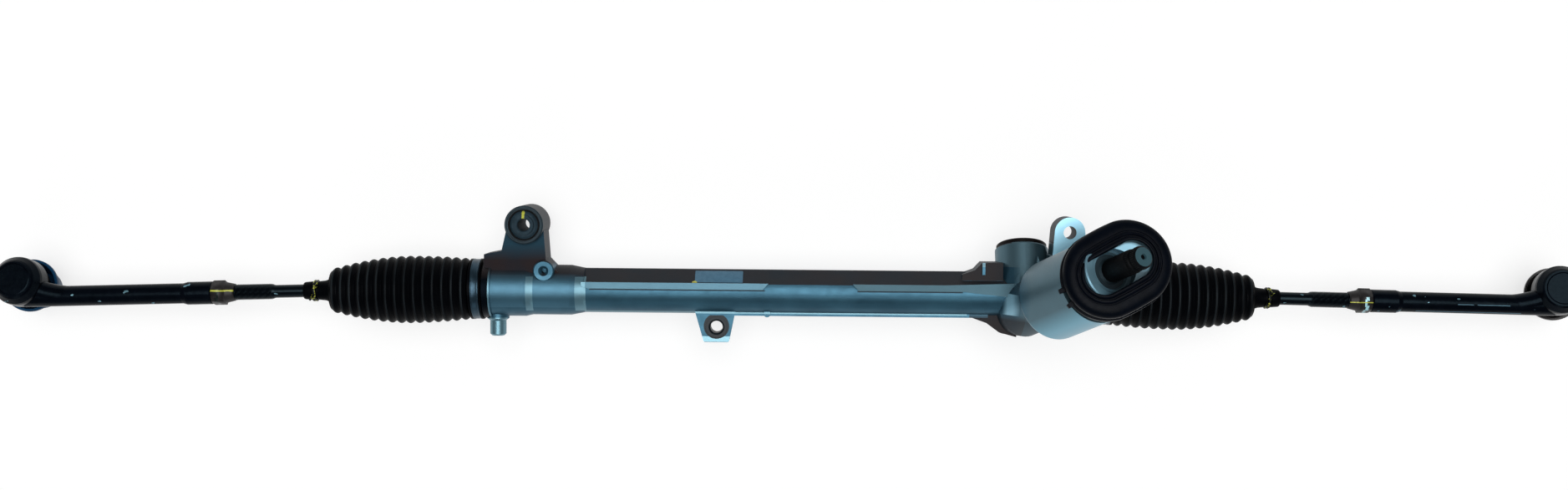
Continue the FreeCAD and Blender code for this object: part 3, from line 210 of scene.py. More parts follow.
# %% A finish from noise
class Finish:
    """A material with a blotchy colour, a varying roughness and a fine grain."""

    def __init__(self, name, dark, light, rough, metal=0.0, patch=60.0, grain=2500.0,
                 height=0.02, stretch=(1, 1, 1), **fixed):
        self.material = bpy.data.materials.new(name)
        self.material.use_nodes = True
        self.tree = self.material.node_tree
        self.shader = self.tree.nodes["Principled BSDF"]
        self.metal = metal
        self.coordinates = self.tree.nodes.new("ShaderNodeTexCoord")
        self.colour = self.blend(self.noise(patch, 4.0, stretch), dark, light)
        self.roughness = self.noise(patch * 3, 3.0) * (rough[1] - rough[0]) + rough[0]
        bump = new_node(self.tree, "ShaderNodeBump", Strength=1.0, Distance=height * MM,
                        Height=self.noise(grain, 2.0, stretch))
        feed_all(self.tree, self.shader, Normal=bump.outputs["Normal"], **fixed)
        self.show()

    def noise(self, scale, detail, stretch=(1, 1, 1), contrast=1.6):
        """Slow or fine variation between nought and one."""
        mapping = new_node(self.tree, "ShaderNodeMapping", Scale=stretch,
                           Vector=self.coordinates.outputs["Object"])
        noise = new_node(self.tree, "ShaderNodeTexNoise", Scale=scale, Detail=detail,
                         Vector=mapping.outputs["Vector"])
        return ((Value(self.tree, noise.outputs["Fac"]) - 0.5) * contrast + 0.5).clamped()

    def blend(self, share, first, second):
        """Mix two colours by a share. Either may be a colour made before."""
        mix = self.tree.nodes.new("ShaderNodeMix")
        mix.data_type = "RGBA"
        feed(self.tree, mix.inputs["Factor"], share)
        sockets = [s for s in mix.inputs if s.type == "RGBA"]
        for socket, colour in zip(sockets, (first, second)):
            feed(self.tree, socket, colour if isinstance(colour, Value) else (*colour, 1.0))
        result = [s for s in mix.outputs if s.type == "RGBA"][0]
        return Value(self.tree, result)

    def axis(self, letter):
        """One Object coordinate, in millimetres of the rack's own frame."""
        if not hasattr(self, "split"):
            self.split = new_node(self.tree, "ShaderNodeSeparateXYZ",
                                  Vector=self.coordinates.outputs["Object"])
        index = "XYZ".index(letter)
        return Value(self.tree, self.split.outputs[index]) * (1 / MM) - SHIFT[index]

    def facing(self, letter):
        """One component of the Object normal."""
        if not hasattr(self, "normals"):
            self.normals = new_node(self.tree, "ShaderNodeSeparateXYZ",
                                    Vector=self.coordinates.outputs["Normal"])
        return Value(self.tree, self.normals.outputs["XYZ".index(letter)])

    def mark(self, share, colour, roughness, metal=0.0):
        """Paint a mark where the share is one."""
        self.colour = self.blend(share, self.colour, colour)
        self.roughness = self.roughness * share.from_one() + share * roughness
        if metal != self.metal:
            self.metal = share.from_one() * self.metal + share * metal
        self.show()

    def near(self, x, y, radius):
        """Share inside an upright cylinder about a point of the rack's own frame."""
        away = (self.axis("X") - x) ** 2.0 + (self.axis("Y") - y) ** 2.0
        return away.below(radius ** 2)

    def between(self, letter, low, high):
        """Share between two places along one axis."""
        middle = (low + high) / 2
        return abs(self.axis(letter) - middle).below((high - low) / 2)

    def within(self, lengthwise, across):
        """Share inside a rectangle seen from above, given by its two ranges."""
        return self.between("X", *lengthwise) * self.between("Y", *across)

    def ramp(self, value, start, end):
        """Share that rises from nought to one between two limits."""
        return ((value - start) * (1 / (end - start))).clamped()

    def show(self):
        """Join the colour, roughness and metal as they are now to the shader."""
        feed_all(self.tree, self.shader, Base_Color=self.colour, Roughness=self.roughness,
                 Metallic=self.metal)


print("a finish needs a name, two colours and a range of roughness")

# %% [markdown]
# ## Cast aluminium
# The housing is a die casting that has been blasted: satin grey with a cold cast,
# slightly mottled, finely grained. One material covers all of it. A patch that looks
# different is found by its place, its height and the way it faces, so the finish
# follows the shape and needs no second mesh. Many of these patches are painted
# light and shade.

# %% The blasted skin
CAST_DARK = (0.0225, 0.07, 0.107)
CAST_LIGHT = (0.045, 0.13, 0.188)
# Colours of painted shade
STEEP_SHADE = (0.008, 0.013, 0.02)
BROWN_SHADE = (0.022, 0.012, 0.01)
CAST_METAL = 0.8

casting = Finish("cast_aluminium", CAST_DARK, CAST_LIGHT, (0.36, 0.5), metal=CAST_METAL,
                 patch=55.0, grain=1500.0, height=0.035, stretch=(0.55, 1, 1))
lengthwise = casting.axis("X")
across = casting.axis("Y")
level = casting.axis("Z")
upward = casting.facing("Z")
level_face = upward.above(0.97)
# Painted shade: a dark, slightly brown colour for faces that the light misses
brown = casting.blend(casting.noise(35.0, 3.0), STEEP_SHADE, BROWN_SHADE)
print("the casting's skin is mixed from", CAST_DARK, "and", CAST_LIGHT)

# %% [markdown]
# Painted light makes the tower and the side of the yoke's boss paler than the tube.
# A painted highlight lies in a crescent under the tower and in the hollow beside it.
# Painted shade keeps the tower's foot dark and a little brown.

# %% The tower, its foot and the hollow beside it
TOWER_PAINTED_LIGHT = (0.1, 0.17, 0.2)
CRESCENT_HIGHLIGHT = (0.17, 0.4, 0.52)
# Colour of milled faces, also used for painted highlights
MILLED_AND_HIGHLIGHT = (0.36, 0.68, 0.85)

# Painted light on the tower and the side of the yoke's boss
tower = casting.ramp(lengthwise, 196.0, 206.0) * casting.between("Y", -60.0, 45.0)
yoke_side = casting.within((165.0, 215.0), (24.0, 60.0))
casting.mark((tower + yoke_side).at_most(0.75), TOWER_PAINTED_LIGHT, 0.42, metal=CAST_METAL)
# Painted highlight: a crescent on the tower's faces that look towards -Y
underside = casting.ramp(-casting.facing("Y"), 0.5, 0.85) * lengthwise.above(204.0)
casting.mark(underside * level.above(8.0) * 0.8, CRESCENT_HIGHLIGHT, 0.36, metal=CAST_METAL)
# Painted shade: the tower's foot is darkened brown
foot = casting.between("X", 160.0, 222.0) * casting.ramp(-across, 15.0, 21.0)
casting.mark(foot * level.below(45.0) * 0.8, brown, 0.6, metal=0.5)
# Painted highlight in the hollow beside the tower
hollow = casting.ramp(lengthwise, 187.0, 190.5) * casting.ramp(lengthwise, 199.0, 194.0)
hollow = hollow * casting.between("Y", -16.0, 2.0) * casting.between("Z", 14.0, 45.0)
hollow = hollow * casting.ramp(-casting.facing("X"), 0.5, 0.8)
casting.mark(hollow * 0.9, MILLED_AND_HIGHLIGHT, 0.4, metal=0.1)
print("the tower's skin is", TOWER_PAINTED_LIGHT)

# %% [markdown]
# The sleeve is handled most, so its skin is polished a little. At the cuff a painted
# shadow makes a black ring, with a painted highlight on its edge. Painted shade darkens
# the flanks that face +Y all along the tube and the upright sides by the ear and the lug.
# The web of the ear, the gusset, the flare of the mesh body and the top of the ear are
# painted dark as shade too.

# %% The sleeve, the cuff and the painted shade on flanks and flats
SLEEVE_SKIN = (0.1, 0.225, 0.31)
CUFF_SHADOW = (0.001, 0.003, 0.006)
WEB_SHADE = (0.012, 0.036, 0.055)
EAR_DARK = (0.006, 0.014, 0.02)
EAR_LIGHT = (0.03, 0.06, 0.08)
# Colour of painted highlights, also of bare milled strips
HIGHLIGHT_AND_BARE = (0.16, 0.3, 0.36)
CUFF_EDGE = -252.2
EAR_X, EAR_Y, EAR_TOP = -221.5, 56.7, 22.0

sleeve = casting.within((-262.0, -178.0), (-14.0, 14.0))
casting.mark(sleeve * 0.3, SLEEVE_SKIN, 0.4, metal=CAST_METAL)
# Painted shadow: a black ring on the sleeve's end by the cuff
casting.mark(casting.between("X", -266.0, CUFF_EDGE), CUFF_SHADOW, 0.5, metal=0.95)
# Painted highlight: a bright line on the edge by the cuff
casting.mark(casting.between("X", CUFF_EDGE, CUFF_EDGE + 1.2) * 0.6, HIGHLIGHT_AND_BARE, 0.36, metal=0.7)
# Painted shade on faces towards +Y and on upright sides by the ear and the lug
flank = casting.ramp(casting.facing("Y"), 0.4, 0.74) * lengthwise.below(196.0)
upright = casting.ramp(upward, 0.7, 0.4) * across.above(24.0)
lug_side = lengthwise.above(215.0) * across.above(45.0)
ear_side = upright * (lengthwise.below(-150.0) + lug_side)
casting.mark((flank + ear_side).at_most(0.92), brown, 0.6, metal=0.5)
# Painted shade on the ear's web, browner near the sleeve and bluer near the ear
web = abs(level - 15.0).below(0.4) * lengthwise.below(-190.0) * upward.above(0.9)
web_shade = casting.blend(casting.ramp(across, 26.0, 40.0), brown, WEB_SHADE)
casting.mark(web, web_shade, 0.6, metal=0.9)
# Painted shade: the flat tops of the gusset and of the mesh body's flare are darkened brown
rough = abs(level - 12.0).below(0.3) * across.above(12.0) + abs(level - 6.0).below(0.3)
casting.mark(rough * lengthwise.above(140.0) * level_face, brown, 0.7, metal=0.3)
# Painted shade on the top of the mounting ear
ear_top = casting.near(EAR_X, EAR_Y, 18.0) * level.above(EAR_TOP - 4.0)
ear_top_shade = casting.blend(casting.noise(60.0, 3.0), EAR_DARK, EAR_LIGHT)
casting.mark(ear_top, ear_top_shade, 0.6, metal=0.5)
# CUFF_EDGE is where the painted shadow at the cuff ends
print("the cuff's oil ends at", CUFF_EDGE, "mm")

# %% [markdown]
# Painted highlights lie on raised edges: the two bands where the sleeve steps down, the
# tops of the long rib and the far rib, and the flash that the mould left along the side.
# A thin line of painted shadow runs beside each rib.

# %% Bands, ribs, groove and flash
RIB_HIGHLIGHT = (0.09, 0.18, 0.23)
FAR_RIB_HIGHLIGHT = (0.05, 0.095, 0.115)

# Painted highlight on the two bands where the sleeve steps down
bands = casting.between("X", -220.2, -214.2) + casting.between("X", -178.4, -169.2)
bands = bands * casting.between("Y", -17.0, 12.5) * level.above(8.0)
# Painted highlight on the top of the long rib
rib = level.above(20.3) * casting.within((-169.0, -13.0), (2.9, 8.7))
casting.mark(rib * 0.7, RIB_HIGHLIGHT, 0.45, metal=CAST_METAL)
casting.mark(bands * 0.7, HIGHLIGHT_AND_BARE, 0.36, metal=0.7)
# Painted highlight on the top of the far rib
far_rib = abs(level - 20.7).below(0.3) * casting.between("X", 60.0, 200.0) * level_face
casting.mark(far_rib * 0.8, FAR_RIB_HIGHLIGHT, 0.5, metal=CAST_METAL)
# Painted shadow: a thin dark line beside each rib
rib_shadow_line = casting.between("X", -166.0, -16.0) + casting.between("X", 63.0, 153.0)
rib_shadow_line = rib_shadow_line * casting.between("Y", 1.7, 2.9) * level.above(15.0)
casting.mark(rib_shadow_line * 0.8, STEEP_SHADE, 0.6, metal=0.5)
# Painted highlight along the mould's flash on the side of the tube
flash = casting.within((-171.0, 158.0), (-18.6, -16.9))
casting.mark(flash * level.above(4.0) * 0.8, HIGHLIGHT_AND_BARE, 0.4, metal=0.6)
# Both colours are painted highlights; the second also colours bare milled strips
print("edges rubbed bare are", RIB_HIGHLIGHT, "and", HIGHLIGHT_AND_BARE)

# %% [markdown]
# Bolt faces were milled after casting, and they are the brightest. Their colour is partly
# bare milled metal and partly painted highlight: the upper lug's top, a strip of the lower
# lug and the peg. The round face about the lower lug's hole is dark.

# %% Milled faces
LUG_FACE_DARK = (0.006, 0.012, 0.017)
LUG_X, LUG_Y = -57.5, -29.5

# Milled face of the upper lug, painted brighter as a highlight
lug_top = abs(level - 22.0).below(0.2) * lengthwise.above(220.0)
casting.mark(lug_top * level_face, MILLED_AND_HIGHLIGHT, 0.34, metal=0.7)
# Milled strips of the lower lug and the peg, partly painted highlight
casting.mark(casting.within((-75.0, -40.0), (-43.0, -38.3)), HIGHLIGHT_AND_BARE, 0.34, metal=0.7)
peg = casting.between("X", -255.0, -238.0) * across.below(-24.0)
casting.mark(peg * 0.8, HIGHLIGHT_AND_BARE, 0.34, metal=0.7)
# The round face about the lower lug's hole is darker
spot_face = casting.near(LUG_X, LUG_Y, 11.0) * across.below(-20.0)
casting.mark(spot_face, LUG_FACE_DARK, 0.5, metal=0.3)
print("the casting's finish has", len(casting.tree.nodes), "nodes")

# %% [markdown]
# ## Turned aluminium
# The cover of the tower, the yoke and its plug are turned from bar, so their skin has
# fine rings and is brighter than the casting. Inside the mouth of the seal, a painted
# highlight brightens the side that faces the window, and painted shade darkens the near
# right side.

# %% The turned cover
LIT_SIDE = (0.3, 0.56, 0.7)
SHADED_SIDE = (0.05, 0.075, 0.085)

turned_alloy = Finish("turned_aluminium", (0.06, 0.13, 0.18), (0.12, 0.22, 0.28),
                      (0.26, 0.38), metal=0.85, patch=80.0, grain=900.0, height=0.012,
                      stretch=(1, 1, 6))
right_side = turned_alloy.ramp(turned_alloy.axis("X"), 256.0, 272.0)
far_side = turned_alloy.ramp(turned_alloy.axis("Y"), 28.0, 38.0)
# Painted shade on the near right side
turned_alloy.mark(right_side * far_side.from_one() * 0.8, SHADED_SIDE, 0.5, metal=0.7)
# Painted highlight on the side that faces the window
left_side = turned_alloy.ramp(turned_alloy.axis("X"), 258.0, 248.0)
lit = (far_side + left_side).at_most(1.0) * turned_alloy.axis("X").above(235.0)
turned_alloy.mark(lit * 0.6, LIT_SIDE, 0.34, metal=0.6)
print("the turned cover's finish has", len(turned_alloy.tree.nodes), "nodes")

# %% [markdown]
# ## Steel, forgings and springs
# The tie rods and rod ends are dipped in glossy black paint, which pulls back from
# edges, and painted highlights run along the rod ends in thin streaks. The input shaft
# is phosphated: black, but dull.
# The jam nuts are zinc plated. The spring clips are oiled black, with flecks of the
# fitter's paint. The bellows clamp is a stainless band, dulled by handling.

# %% Steel finishes
forging = Finish("gloss_black_forging", (0.0006, 0.001, 0.0022), (0.002, 0.003, 0.006),
                 (0.18, 0.3), patch=90.0, grain=160.0, height=0.1,
                 Specular_IOR_Level=0.07, Specular_Tint=(0.5, 0.8, 1.0, 1.0))
black_rod = Finish("painted_black_rod", (0.0006, 0.001, 0.002), (0.002, 0.003, 0.005),
                   (0.18, 0.28), patch=140.0, grain=200.0, height=0.03,
                   Specular_IOR_Level=0.16, Specular_Tint=(0.55, 0.85, 1.0, 1.0))
phosphate = Finish("phosphate_black", (0.0012, 0.0015, 0.002), (0.004, 0.005, 0.006),
                   (0.36, 0.5), patch=120.0, grain=1900.0, height=0.02,
                   Specular_IOR_Level=0.04)
ground_steel = Finish("ground_steel", (0.42, 0.44, 0.46), (0.58, 0.6, 0.62),
                      (0.18, 0.32), metal=1.0, patch=120.0, grain=1200.0, height=0.008,
                      stretch=(0.2, 1, 1))
machined_steel = Finish("machined_steel", (0.2, 0.24, 0.26), (0.34, 0.38, 0.4),
                        (0.28, 0.44), metal=0.9, patch=160.0, grain=1500.0,
                        height=0.015)
band_steel = Finish("band_stainless", (0.018, 0.036, 0.052), (0.036, 0.07, 0.1),
                    (0.24, 0.42), metal=0.9, patch=110.0, grain=1300.0, height=0.012,
                    stretch=(4, 1, 1))
clip_steel = Finish("clip_steel", (0.004, 0.006, 0.007), (0.02, 0.024, 0.02), (0.26, 0.42),
                    metal=0.7, patch=260.0, grain=1500.0, height=0.015)
print(len(bpy.data.materials), "materials so far")

# %% [markdown]
# ## Rubber and plastic
# Moulded rubber is nearly black, with a low gloss, and a painted highlight draws a thin
# line on the crest of each fold. The bush in the mounting ear is a greyer, chalky
# compound. Slide bearings and ball seats are pale nylon. The caps that guard the studs
# in transit are thin polythene, blue on one side and smoke grey on the other.

# %% Rubber and plastic finishes
CREST_HIGHLIGHT = (0.022, 0.028, 0.032)
bellows_rubber = Finish("bellows_rubber", (0.0008, 0.001, 0.0015), (0.002, 0.0025, 0.0035),
                        (0.3, 0.42), patch=70.0, grain=2200.0, height=0.015,
                        Specular_IOR_Level=0.02)
crest = bellows_rubber.tree.nodes.new("ShaderNodeAttribute")
crest.attribute_name = "crest"
# Painted highlight: a thin light line on the crest of each fold
crest_line = Value(bellows_rubber.tree, crest.outputs["Fac"]).above(0.93)
bellows_rubber.mark(crest_line * bellows_rubber.noise(30.0, 2.0), CREST_HIGHLIGHT, 0.4)
seal_rubber = Finish("seal_rubber", (0.0008, 0.0018, 0.004), (0.002, 0.0035, 0.0075),
                     (0.3, 0.44), patch=90.0, grain=1400.0, height=0.025,
                     Specular_IOR_Level=0.05)
grey_rubber = Finish("bush_rubber", (0.012, 0.026, 0.036), (0.03, 0.055, 0.075),
                     (0.55, 0.75), patch=200.0, grain=2300.0, height=0.03,
                     Specular_IOR_Level=0.1)
pale_nylon = Finish("pale_nylon", (0.62, 0.6, 0.54), (0.76, 0.74, 0.68), (0.35, 0.5),
                    patch=150.0, grain=1800.0, height=0.01)
black_plastic = Finish("black_plastic", (0.0025, 0.002, 0.002), (0.007, 0.005, 0.005),
                       (0.4, 0.55), patch=150.0, grain=2400.0, height=0.02,
                       Specular_IOR_Level=0.1)
blue_cap = Finish("blue_polythene", (0.003, 0.035, 0.09), (0.006, 0.07, 0.17),
                  (0.34, 0.5), patch=60.0, grain=900.0, height=0.02,
                  Specular_IOR_Level=0.1)
smoke_cap = Finish("smoke_polythene", (0.006, 0.005, 0.006), (0.02, 0.017, 0.018),
                   (0.24, 0.36), patch=60.0, grain=900.0, height=0.02,
                   Specular_IOR_Level=0.2, Transmission_Weight=0.25)
print(len(bpy.data.materials), "materials with rubber and plastic")

# %% [markdown]
# ## Painted glints and highlight streaks
# Small painted glints sit on the upper side of the black paint, and painted highlights
# run as thin lines along the rod. A glint is a peak of a noise, and a streak is one way
# of facing, broken up by noise.

# %% Painted glints and highlight streaks on the black paint
GLINT = (0.16, 0.3, 0.36)
STREAK_HIGHLIGHT = (0.09, 0.17, 0.22)

# Painted glints on the upper side of the rods and rod ends
for finish in (forging, black_rod):
    glints = finish.noise(190.0, 2.0, (0.6, 1, 1)).above(0.86) * finish.facing("Z").above(0.35)
    finish.mark(glints, GLINT, 0.3, metal=0.5)
# Painted highlights: thin streaks along the rod end at two ways of facing
highlight_streaks = abs(forging.facing("Y") + 0.82).below(0.035) * forging.between("X", 545.0, 636.0)
highlight_streaks = highlight_streaks + abs(forging.facing("Y") + 0.06).below(0.04) * forging.between("X", 580.0, 625.0)
highlight_streaks = highlight_streaks * forging.noise(70.0, 2.0, (1, 0.2, 0.2)).above(0.3) * forging.facing("Z").above(0.2)
forging.mark(highlight_streaks, STREAK_HIGHLIGHT, 0.2)
print("the forging's finish has", len(forging.tree.nodes), "nodes")

# %% [markdown]
# ## Inspection paint
# A fitter dabs yellow paint on each joint once it is tightened. The dab is a brush
# mark, so its edge wanders. A stripe is one coordinate kept near a value, with a
# slow noise added to the width, and it is laid over the finish that is there.

# %% Yellow brush marks
PAINT = (0.5, 0.52, 0.07)


def stripe(finish, letter, middle, half_width):
    """Share of a surface inside a brush stripe across one axis."""
    edge = finish.noise(380.0, 2.0) * half_width + half_width * 0.5
    return (abs(finish.axis(letter) - middle) - edge).below(0.0)


bush_stripe = stripe(grey_rubber, "X", EAR_X - 0.5, 1.1)
bush_stripe = bush_stripe * grey_rubber.axis("Y").above(EAR_Y + 5.5)
grey_rubber.mark(bush_stripe * grey_rubber.axis("Z").above(EAR_TOP - 6), PAINT, 0.5)
flecks = clip_steel.noise(420.0, 1.0, contrast=6.0) * clip_steel.facing("Z").above(0.2)
clip_steel.mark(flecks.above(0.9), PAINT, 0.5)
print("the fitter's paint is", PAINT)

# %% [markdown]
# ## The two sides
# Both tie rods droop a little towards the operator. The same few numbers place
# everything from the inner ball outwards, so they are kept in one record per side.

# %% Places on each side
RACK_CENTRE = 7.0
BALL_DISTANCE = 323.0
MOUTH_DISTANCE = 276.5
EYE_OFFSET = 13.0
CLIP_PLACE = 88.0
NUT_END = 176.98
NUT_LENGTH = 11.0
STUD_SIDE = math.radians(13.0)


class Side:
    """Points and directions from one end of the rack outwards."""

    def __init__(self, name, sign, droop, eye_distance, stud_lean):
        lean = math.radians(droop)
        stud_out = math.tan(math.radians(stud_lean))
        self.name = name
        self.sign = sign
        self.along = Vector((sign * math.cos(lean), -math.sin(lean), 0))
        self.sideways = Vector((sign * math.sin(lean), math.cos(lean), 0))
        self.ball = Vector((RACK_CENTRE + sign * BALL_DISTANCE, 0, 0))
        self.mouth = Vector((RACK_CENTRE + sign * MOUTH_DISTANCE, 0, 0))
        self.neck = self.ball + self.along * CLIP_PLACE
        self.gaiter = (self.neck - self.mouth).normalized()
        self.eye = self.ball + self.along * eye_distance + self.sideways * EYE_OFFSET
        self.stud = -Vector((-sign * stud_out, math.tan(STUD_SIDE), 1)).normalized()


SIDES = [Side("left", -1, 1.8, 343.5, 0.5), Side("right", 1, 1.0, 340.0, 9.5)]
for side in SIDES:
    print(side.name, "outer joint at", [round(v, 1) for v in side.eye], "mm")

# %% [markdown]
# ## The input shaft's end and the shadow round it
# The shaft is black all over but for its end, which was faced after it was coated. A
# painted shadow darkens a ring on the cover where the shaft comes out. Both are found
# by their place along the pinion's axis and their distance from it.

# %% The faced end and the painted shadow round the shaft
SHAFT_END = 168.0
FACED_RADIUS = 7.75
CENTRE_HOLE = 1.9
LIP_RADIUS = 14.4
LIP_HEIGHT = 100.0
FACED_STEEL = (0.07, 0.15, 0.18)
SHAFT_SHADOW = (0.002, 0.004, 0.006)


def about_pinion(finish):
    """Height along the pinion's axis and the square of the distance from it."""
    height = 0.0
    square = 0.0
    for letter, part, origin in zip("XYZ", PINION_WAY, PINION_POINT):
        offset = finish.axis(letter) - origin
        height = offset * part + height
        square = offset ** 2.0 + square
    return height, square - height ** 2.0


height, square = about_pinion(phosphate)
faced = height.above(SHAFT_END) * square.below(FACED_RADIUS ** 2)
phosphate.mark(faced * square.above(CENTRE_HOLE ** 2), FACED_STEEL, 0.4, metal=0.6)
height, square = about_pinion(turned_alloy)
# Painted shadow: a dark ring on the cover round the shaft
shaft_shadow_ring = height.above(LIP_HEIGHT) * square.below(LIP_RADIUS ** 2)
turned_alloy.mark(shaft_shadow_ring * 0.9, SHAFT_SHADOW, 0.5, metal=0.5)
print("the shaft's end is faced to", FACED_RADIUS, "mm from its axis")

# %% [markdown]
# ## Jam nuts
# The right nut is pale zinc and the left one is nearly black. Painted shade turns the
# flats towards +Y and the chamfers dark brown; the flat that faces up keeps its colour.

# %% Nut finishes with their paint marks
NUT_SHADE = (0.012, 0.01, 0.01)
NUT_COLOURS = {"left": ((0.006, 0.01, 0.01), (0.016, 0.024, 0.022)),
               "right": ((0.34, 0.62, 0.7), (0.46, 0.78, 0.84))}
NUT_METAL = {"left": 0.6, "right": 0.1}
PAINT_PLACE = {"left": 2.4, "right": -0.9}
PAINT_WIDTH = {"left": 0.7, "right": 0.4}

nut_finishes = {}
for side in SIDES:
    nut = Finish(f"{side.name}_nut_zinc", *NUT_COLOURS[side.name], (0.26, 0.42),
                 metal=NUT_METAL[side.name], patch=170.0, grain=1300.0, height=0.02)
    middle = side.ball + side.along * (NUT_END - NUT_LENGTH / 2)
    # Painted shade on the flats towards +Y and on the chamfers
    turned_away = nut.facing("Y").above(0.3) + abs(nut.facing("X")).above(0.16)
    nut.mark(turned_away.at_most(1.0), NUT_SHADE, 0.5, metal=0.3)
    dab = stripe(nut, "Y", middle.y + PAINT_PLACE[side.name], PAINT_WIDTH[side.name])
    nut.mark(dab * nut.axis("Z").above(0.0), PAINT, 0.45)
    nut_finishes[side.name] = nut
print("nut paint:", PAINT_WIDTH, "mm to each side")

# %% [markdown]
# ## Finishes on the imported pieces
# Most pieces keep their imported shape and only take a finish. A table from finish to
# pieces says it all, and one loop gives each object its material.

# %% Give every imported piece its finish
finish_of = {}
for finish, pieces in {
        casting: "rack_housing", black_plastic: "yoke_cap",
        turned_alloy: "tower_cover yoke_plug yoke pinion_oil_seal",
        phosphate: "mount_bush_shell pinion_shaft bearing_circlip shaft_circlip",
        grey_rubber: "mount_bush_rubber mount_bush_sleeve",
        pale_nylon: "rack_bush lower_pinion_bush yoke_liner",
        machined_steel: "rack_bush_ring yoke_spring",
        ground_steel: "rack_bar bearing_outer_race bearing_inner_race bearing_balls",
        seal_rubber: "dash_seal yoke_o_ring",
        blue_cap: "left_transit_cap", smoke_cap: "right_transit_cap"}.items():
    for piece in pieces.split():
        finish_of[piece] = finish
for side in SIDES:
    for finish, pieces in {
            bellows_rubber: "bellows dust_boot", band_steel: "bellows_clamp",
            clip_steel: "bellows_clip", pale_nylon: "inner_seat stud_seat",
            machined_steel: "inner_socket ball_stud boot_ring", black_rod: "tie_rod",
            forging: "rod_end rod_end_cover", nut_finishes[side.name]: "jam_nut"}.items():
        for piece in pieces.split():
            finish_of[f"{side.name}_{piece}"] = finish

for name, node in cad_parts.items():
    material = finish_of[name].material
    if not node.data.materials:
        node.data.materials.append(material)
    for index in range(len(node.material_slots)):
        node.material_slots[index].material = material
print(len(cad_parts), "packed pieces have their finish")

# %% [markdown]
# ## Pieces of our own
# A made piece needs four things: a mesh with its place baked in, a finish, a
# material slot that holds it and the body it moves with. If it stands for a imported
# piece, that one is hidden. Smooth shading with sharp edges kept suits turned metal.

# %% Declare a made piece
def added(name, data):
    """New object of this data, linked to the scene."""
    thing = bpy.data.objects.new(name, data)
    bpy.context.scene.collection.objects.link(thing)
    return thing


def keep(name, mesh, finish, body=None, stands_for=()):
    mesh.name = name
    mesh.materials.clear()
    mesh.materials.append(finish.material)
    mesh.shade_smooth()
    mesh.set_sharp_from_angle(angle=math.radians(40))
    piece = added(name, mesh)
    if body:
        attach(piece, body)
    if stands_for:
        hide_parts(*stands_for)
    print(name, "made with", len(mesh.polygons), "faces")
    return piece


# %% [markdown]
# Most made pieces are a skin over rings of points: bands, boots, cuffs and the seal.
# A turned piece is the simplest case, with round rings from an outline of its
# section. The outline's corners are rounded first, since moulded and rolled edges
# are never sharp.

# %% Skins over rings
def stored(name, shape):
    """Turn a bmesh into a plain mesh."""
    mesh = bpy.data.meshes.new(name)
    shape.to_mesh(mesh)
    shape.free()
    return mesh


def from_bmesh(name, shape, merge=1e-4):
    """Merge doubles, turn the faces outwards and store the mesh."""
    bmesh.ops.remove_doubles(shape, verts=shape.verts, dist=merge)
    bmesh.ops.recalc_face_normals(shape, faces=shape.faces)
    return stored(name, shape)


def lofted(name, rings, capped=False, merge=1e-4):
    """Skin over rings of points with the same count, capped or joined first to last."""
    shape = bmesh.new()
    loops = [[shape.verts.new(point) for point in ring] for ring in rings]
    pairs = list(zip(loops, loops[1:]))
    if capped:
        shape.faces.new(loops[0])
        shape.faces.new(loops[-1])
    else:
        pairs.append((loops[-1], loops[0]))
    for low, high in pairs:
        for index in range(len(low)):
            after = (index + 1) % len(low)
            shape.faces.new((low[index], low[after], high[after], high[index]))
    return from_bmesh(name, shape, merge)


def spun(name, outline, around=96):
    """Turned piece along local Z from a closed outline of (along, radius) corners."""
    rings = []
    for along, radius in outline:
        turn = [math.tau * index / around for index in range(around)]
        rings.append([(radius * math.cos(a), radius * math.sin(a), along) for a in turn])
    return lofted(name, rings)


def rounded_outline(corners, radius, steps=4):
    """Round every corner of a closed outline of points in a plane."""
    points = []
    count = len(corners)
    for index, corner in enumerate(corners):
        here = Vector(corner)
        before = Vector(corners[index - 1]) - here
        after = Vector(corners[(index + 1) % count]) - here
        cut = min(radius, before.length * 0.45, after.length * 0.45)
        start = here + before.normalized() * cut
        end = here + after.normalized() * cut
        for step in range(steps + 1):
            share = step / steps
            points.append(tuple(start.lerp(here, share).lerp(here.lerp(end, share), share)))
    return points


print("a square with rounded corners has",
      len(rounded_outline([(0, 0), (1, 0), (1, 1), (0, 1)], 0.2)), "points")

# %% [markdown]
# ## Growing a mesh from a node tree
# Threads, serrations and folds all follow a rule, so each is one Geometry Nodes
# tree with named sizes. A grid of points is bent round an axis, and the rule gives
# the radius of every point. The evaluated result becomes a plain mesh, and the
# carrier with its modifier is removed before the piece is made.

# %% Trees with named sizes
def sized_tree(name, sizes):
    """New tree with one input for each size. Returns it and its values."""
    tree = bpy.data.node_groups.new(name, "GeometryNodeTree")
    for label, default in sizes.items():
        kind = "NodeSocketInt" if isinstance(default, int) else "NodeSocketFloat"
        socket = tree.interface.new_socket(label, in_out="INPUT", socket_type=kind)
        socket.default_value = default
    tree.interface.new_socket("Geometry", in_out="OUTPUT", socket_type="NodeSocketGeometry")
    entry = tree.nodes.new("NodeGroupInput")
    values = {label: Value(tree, entry.outputs[label]) for label in sizes}
    return tree, values


print("a tree's sizes become inputs with names")

# %% [markdown]
# The grid is one unit wide and long, so its own coordinates are the shares of a turn
# and of the length. The tree bends it round local Z and closes the seam by merging
# the points that meet there.

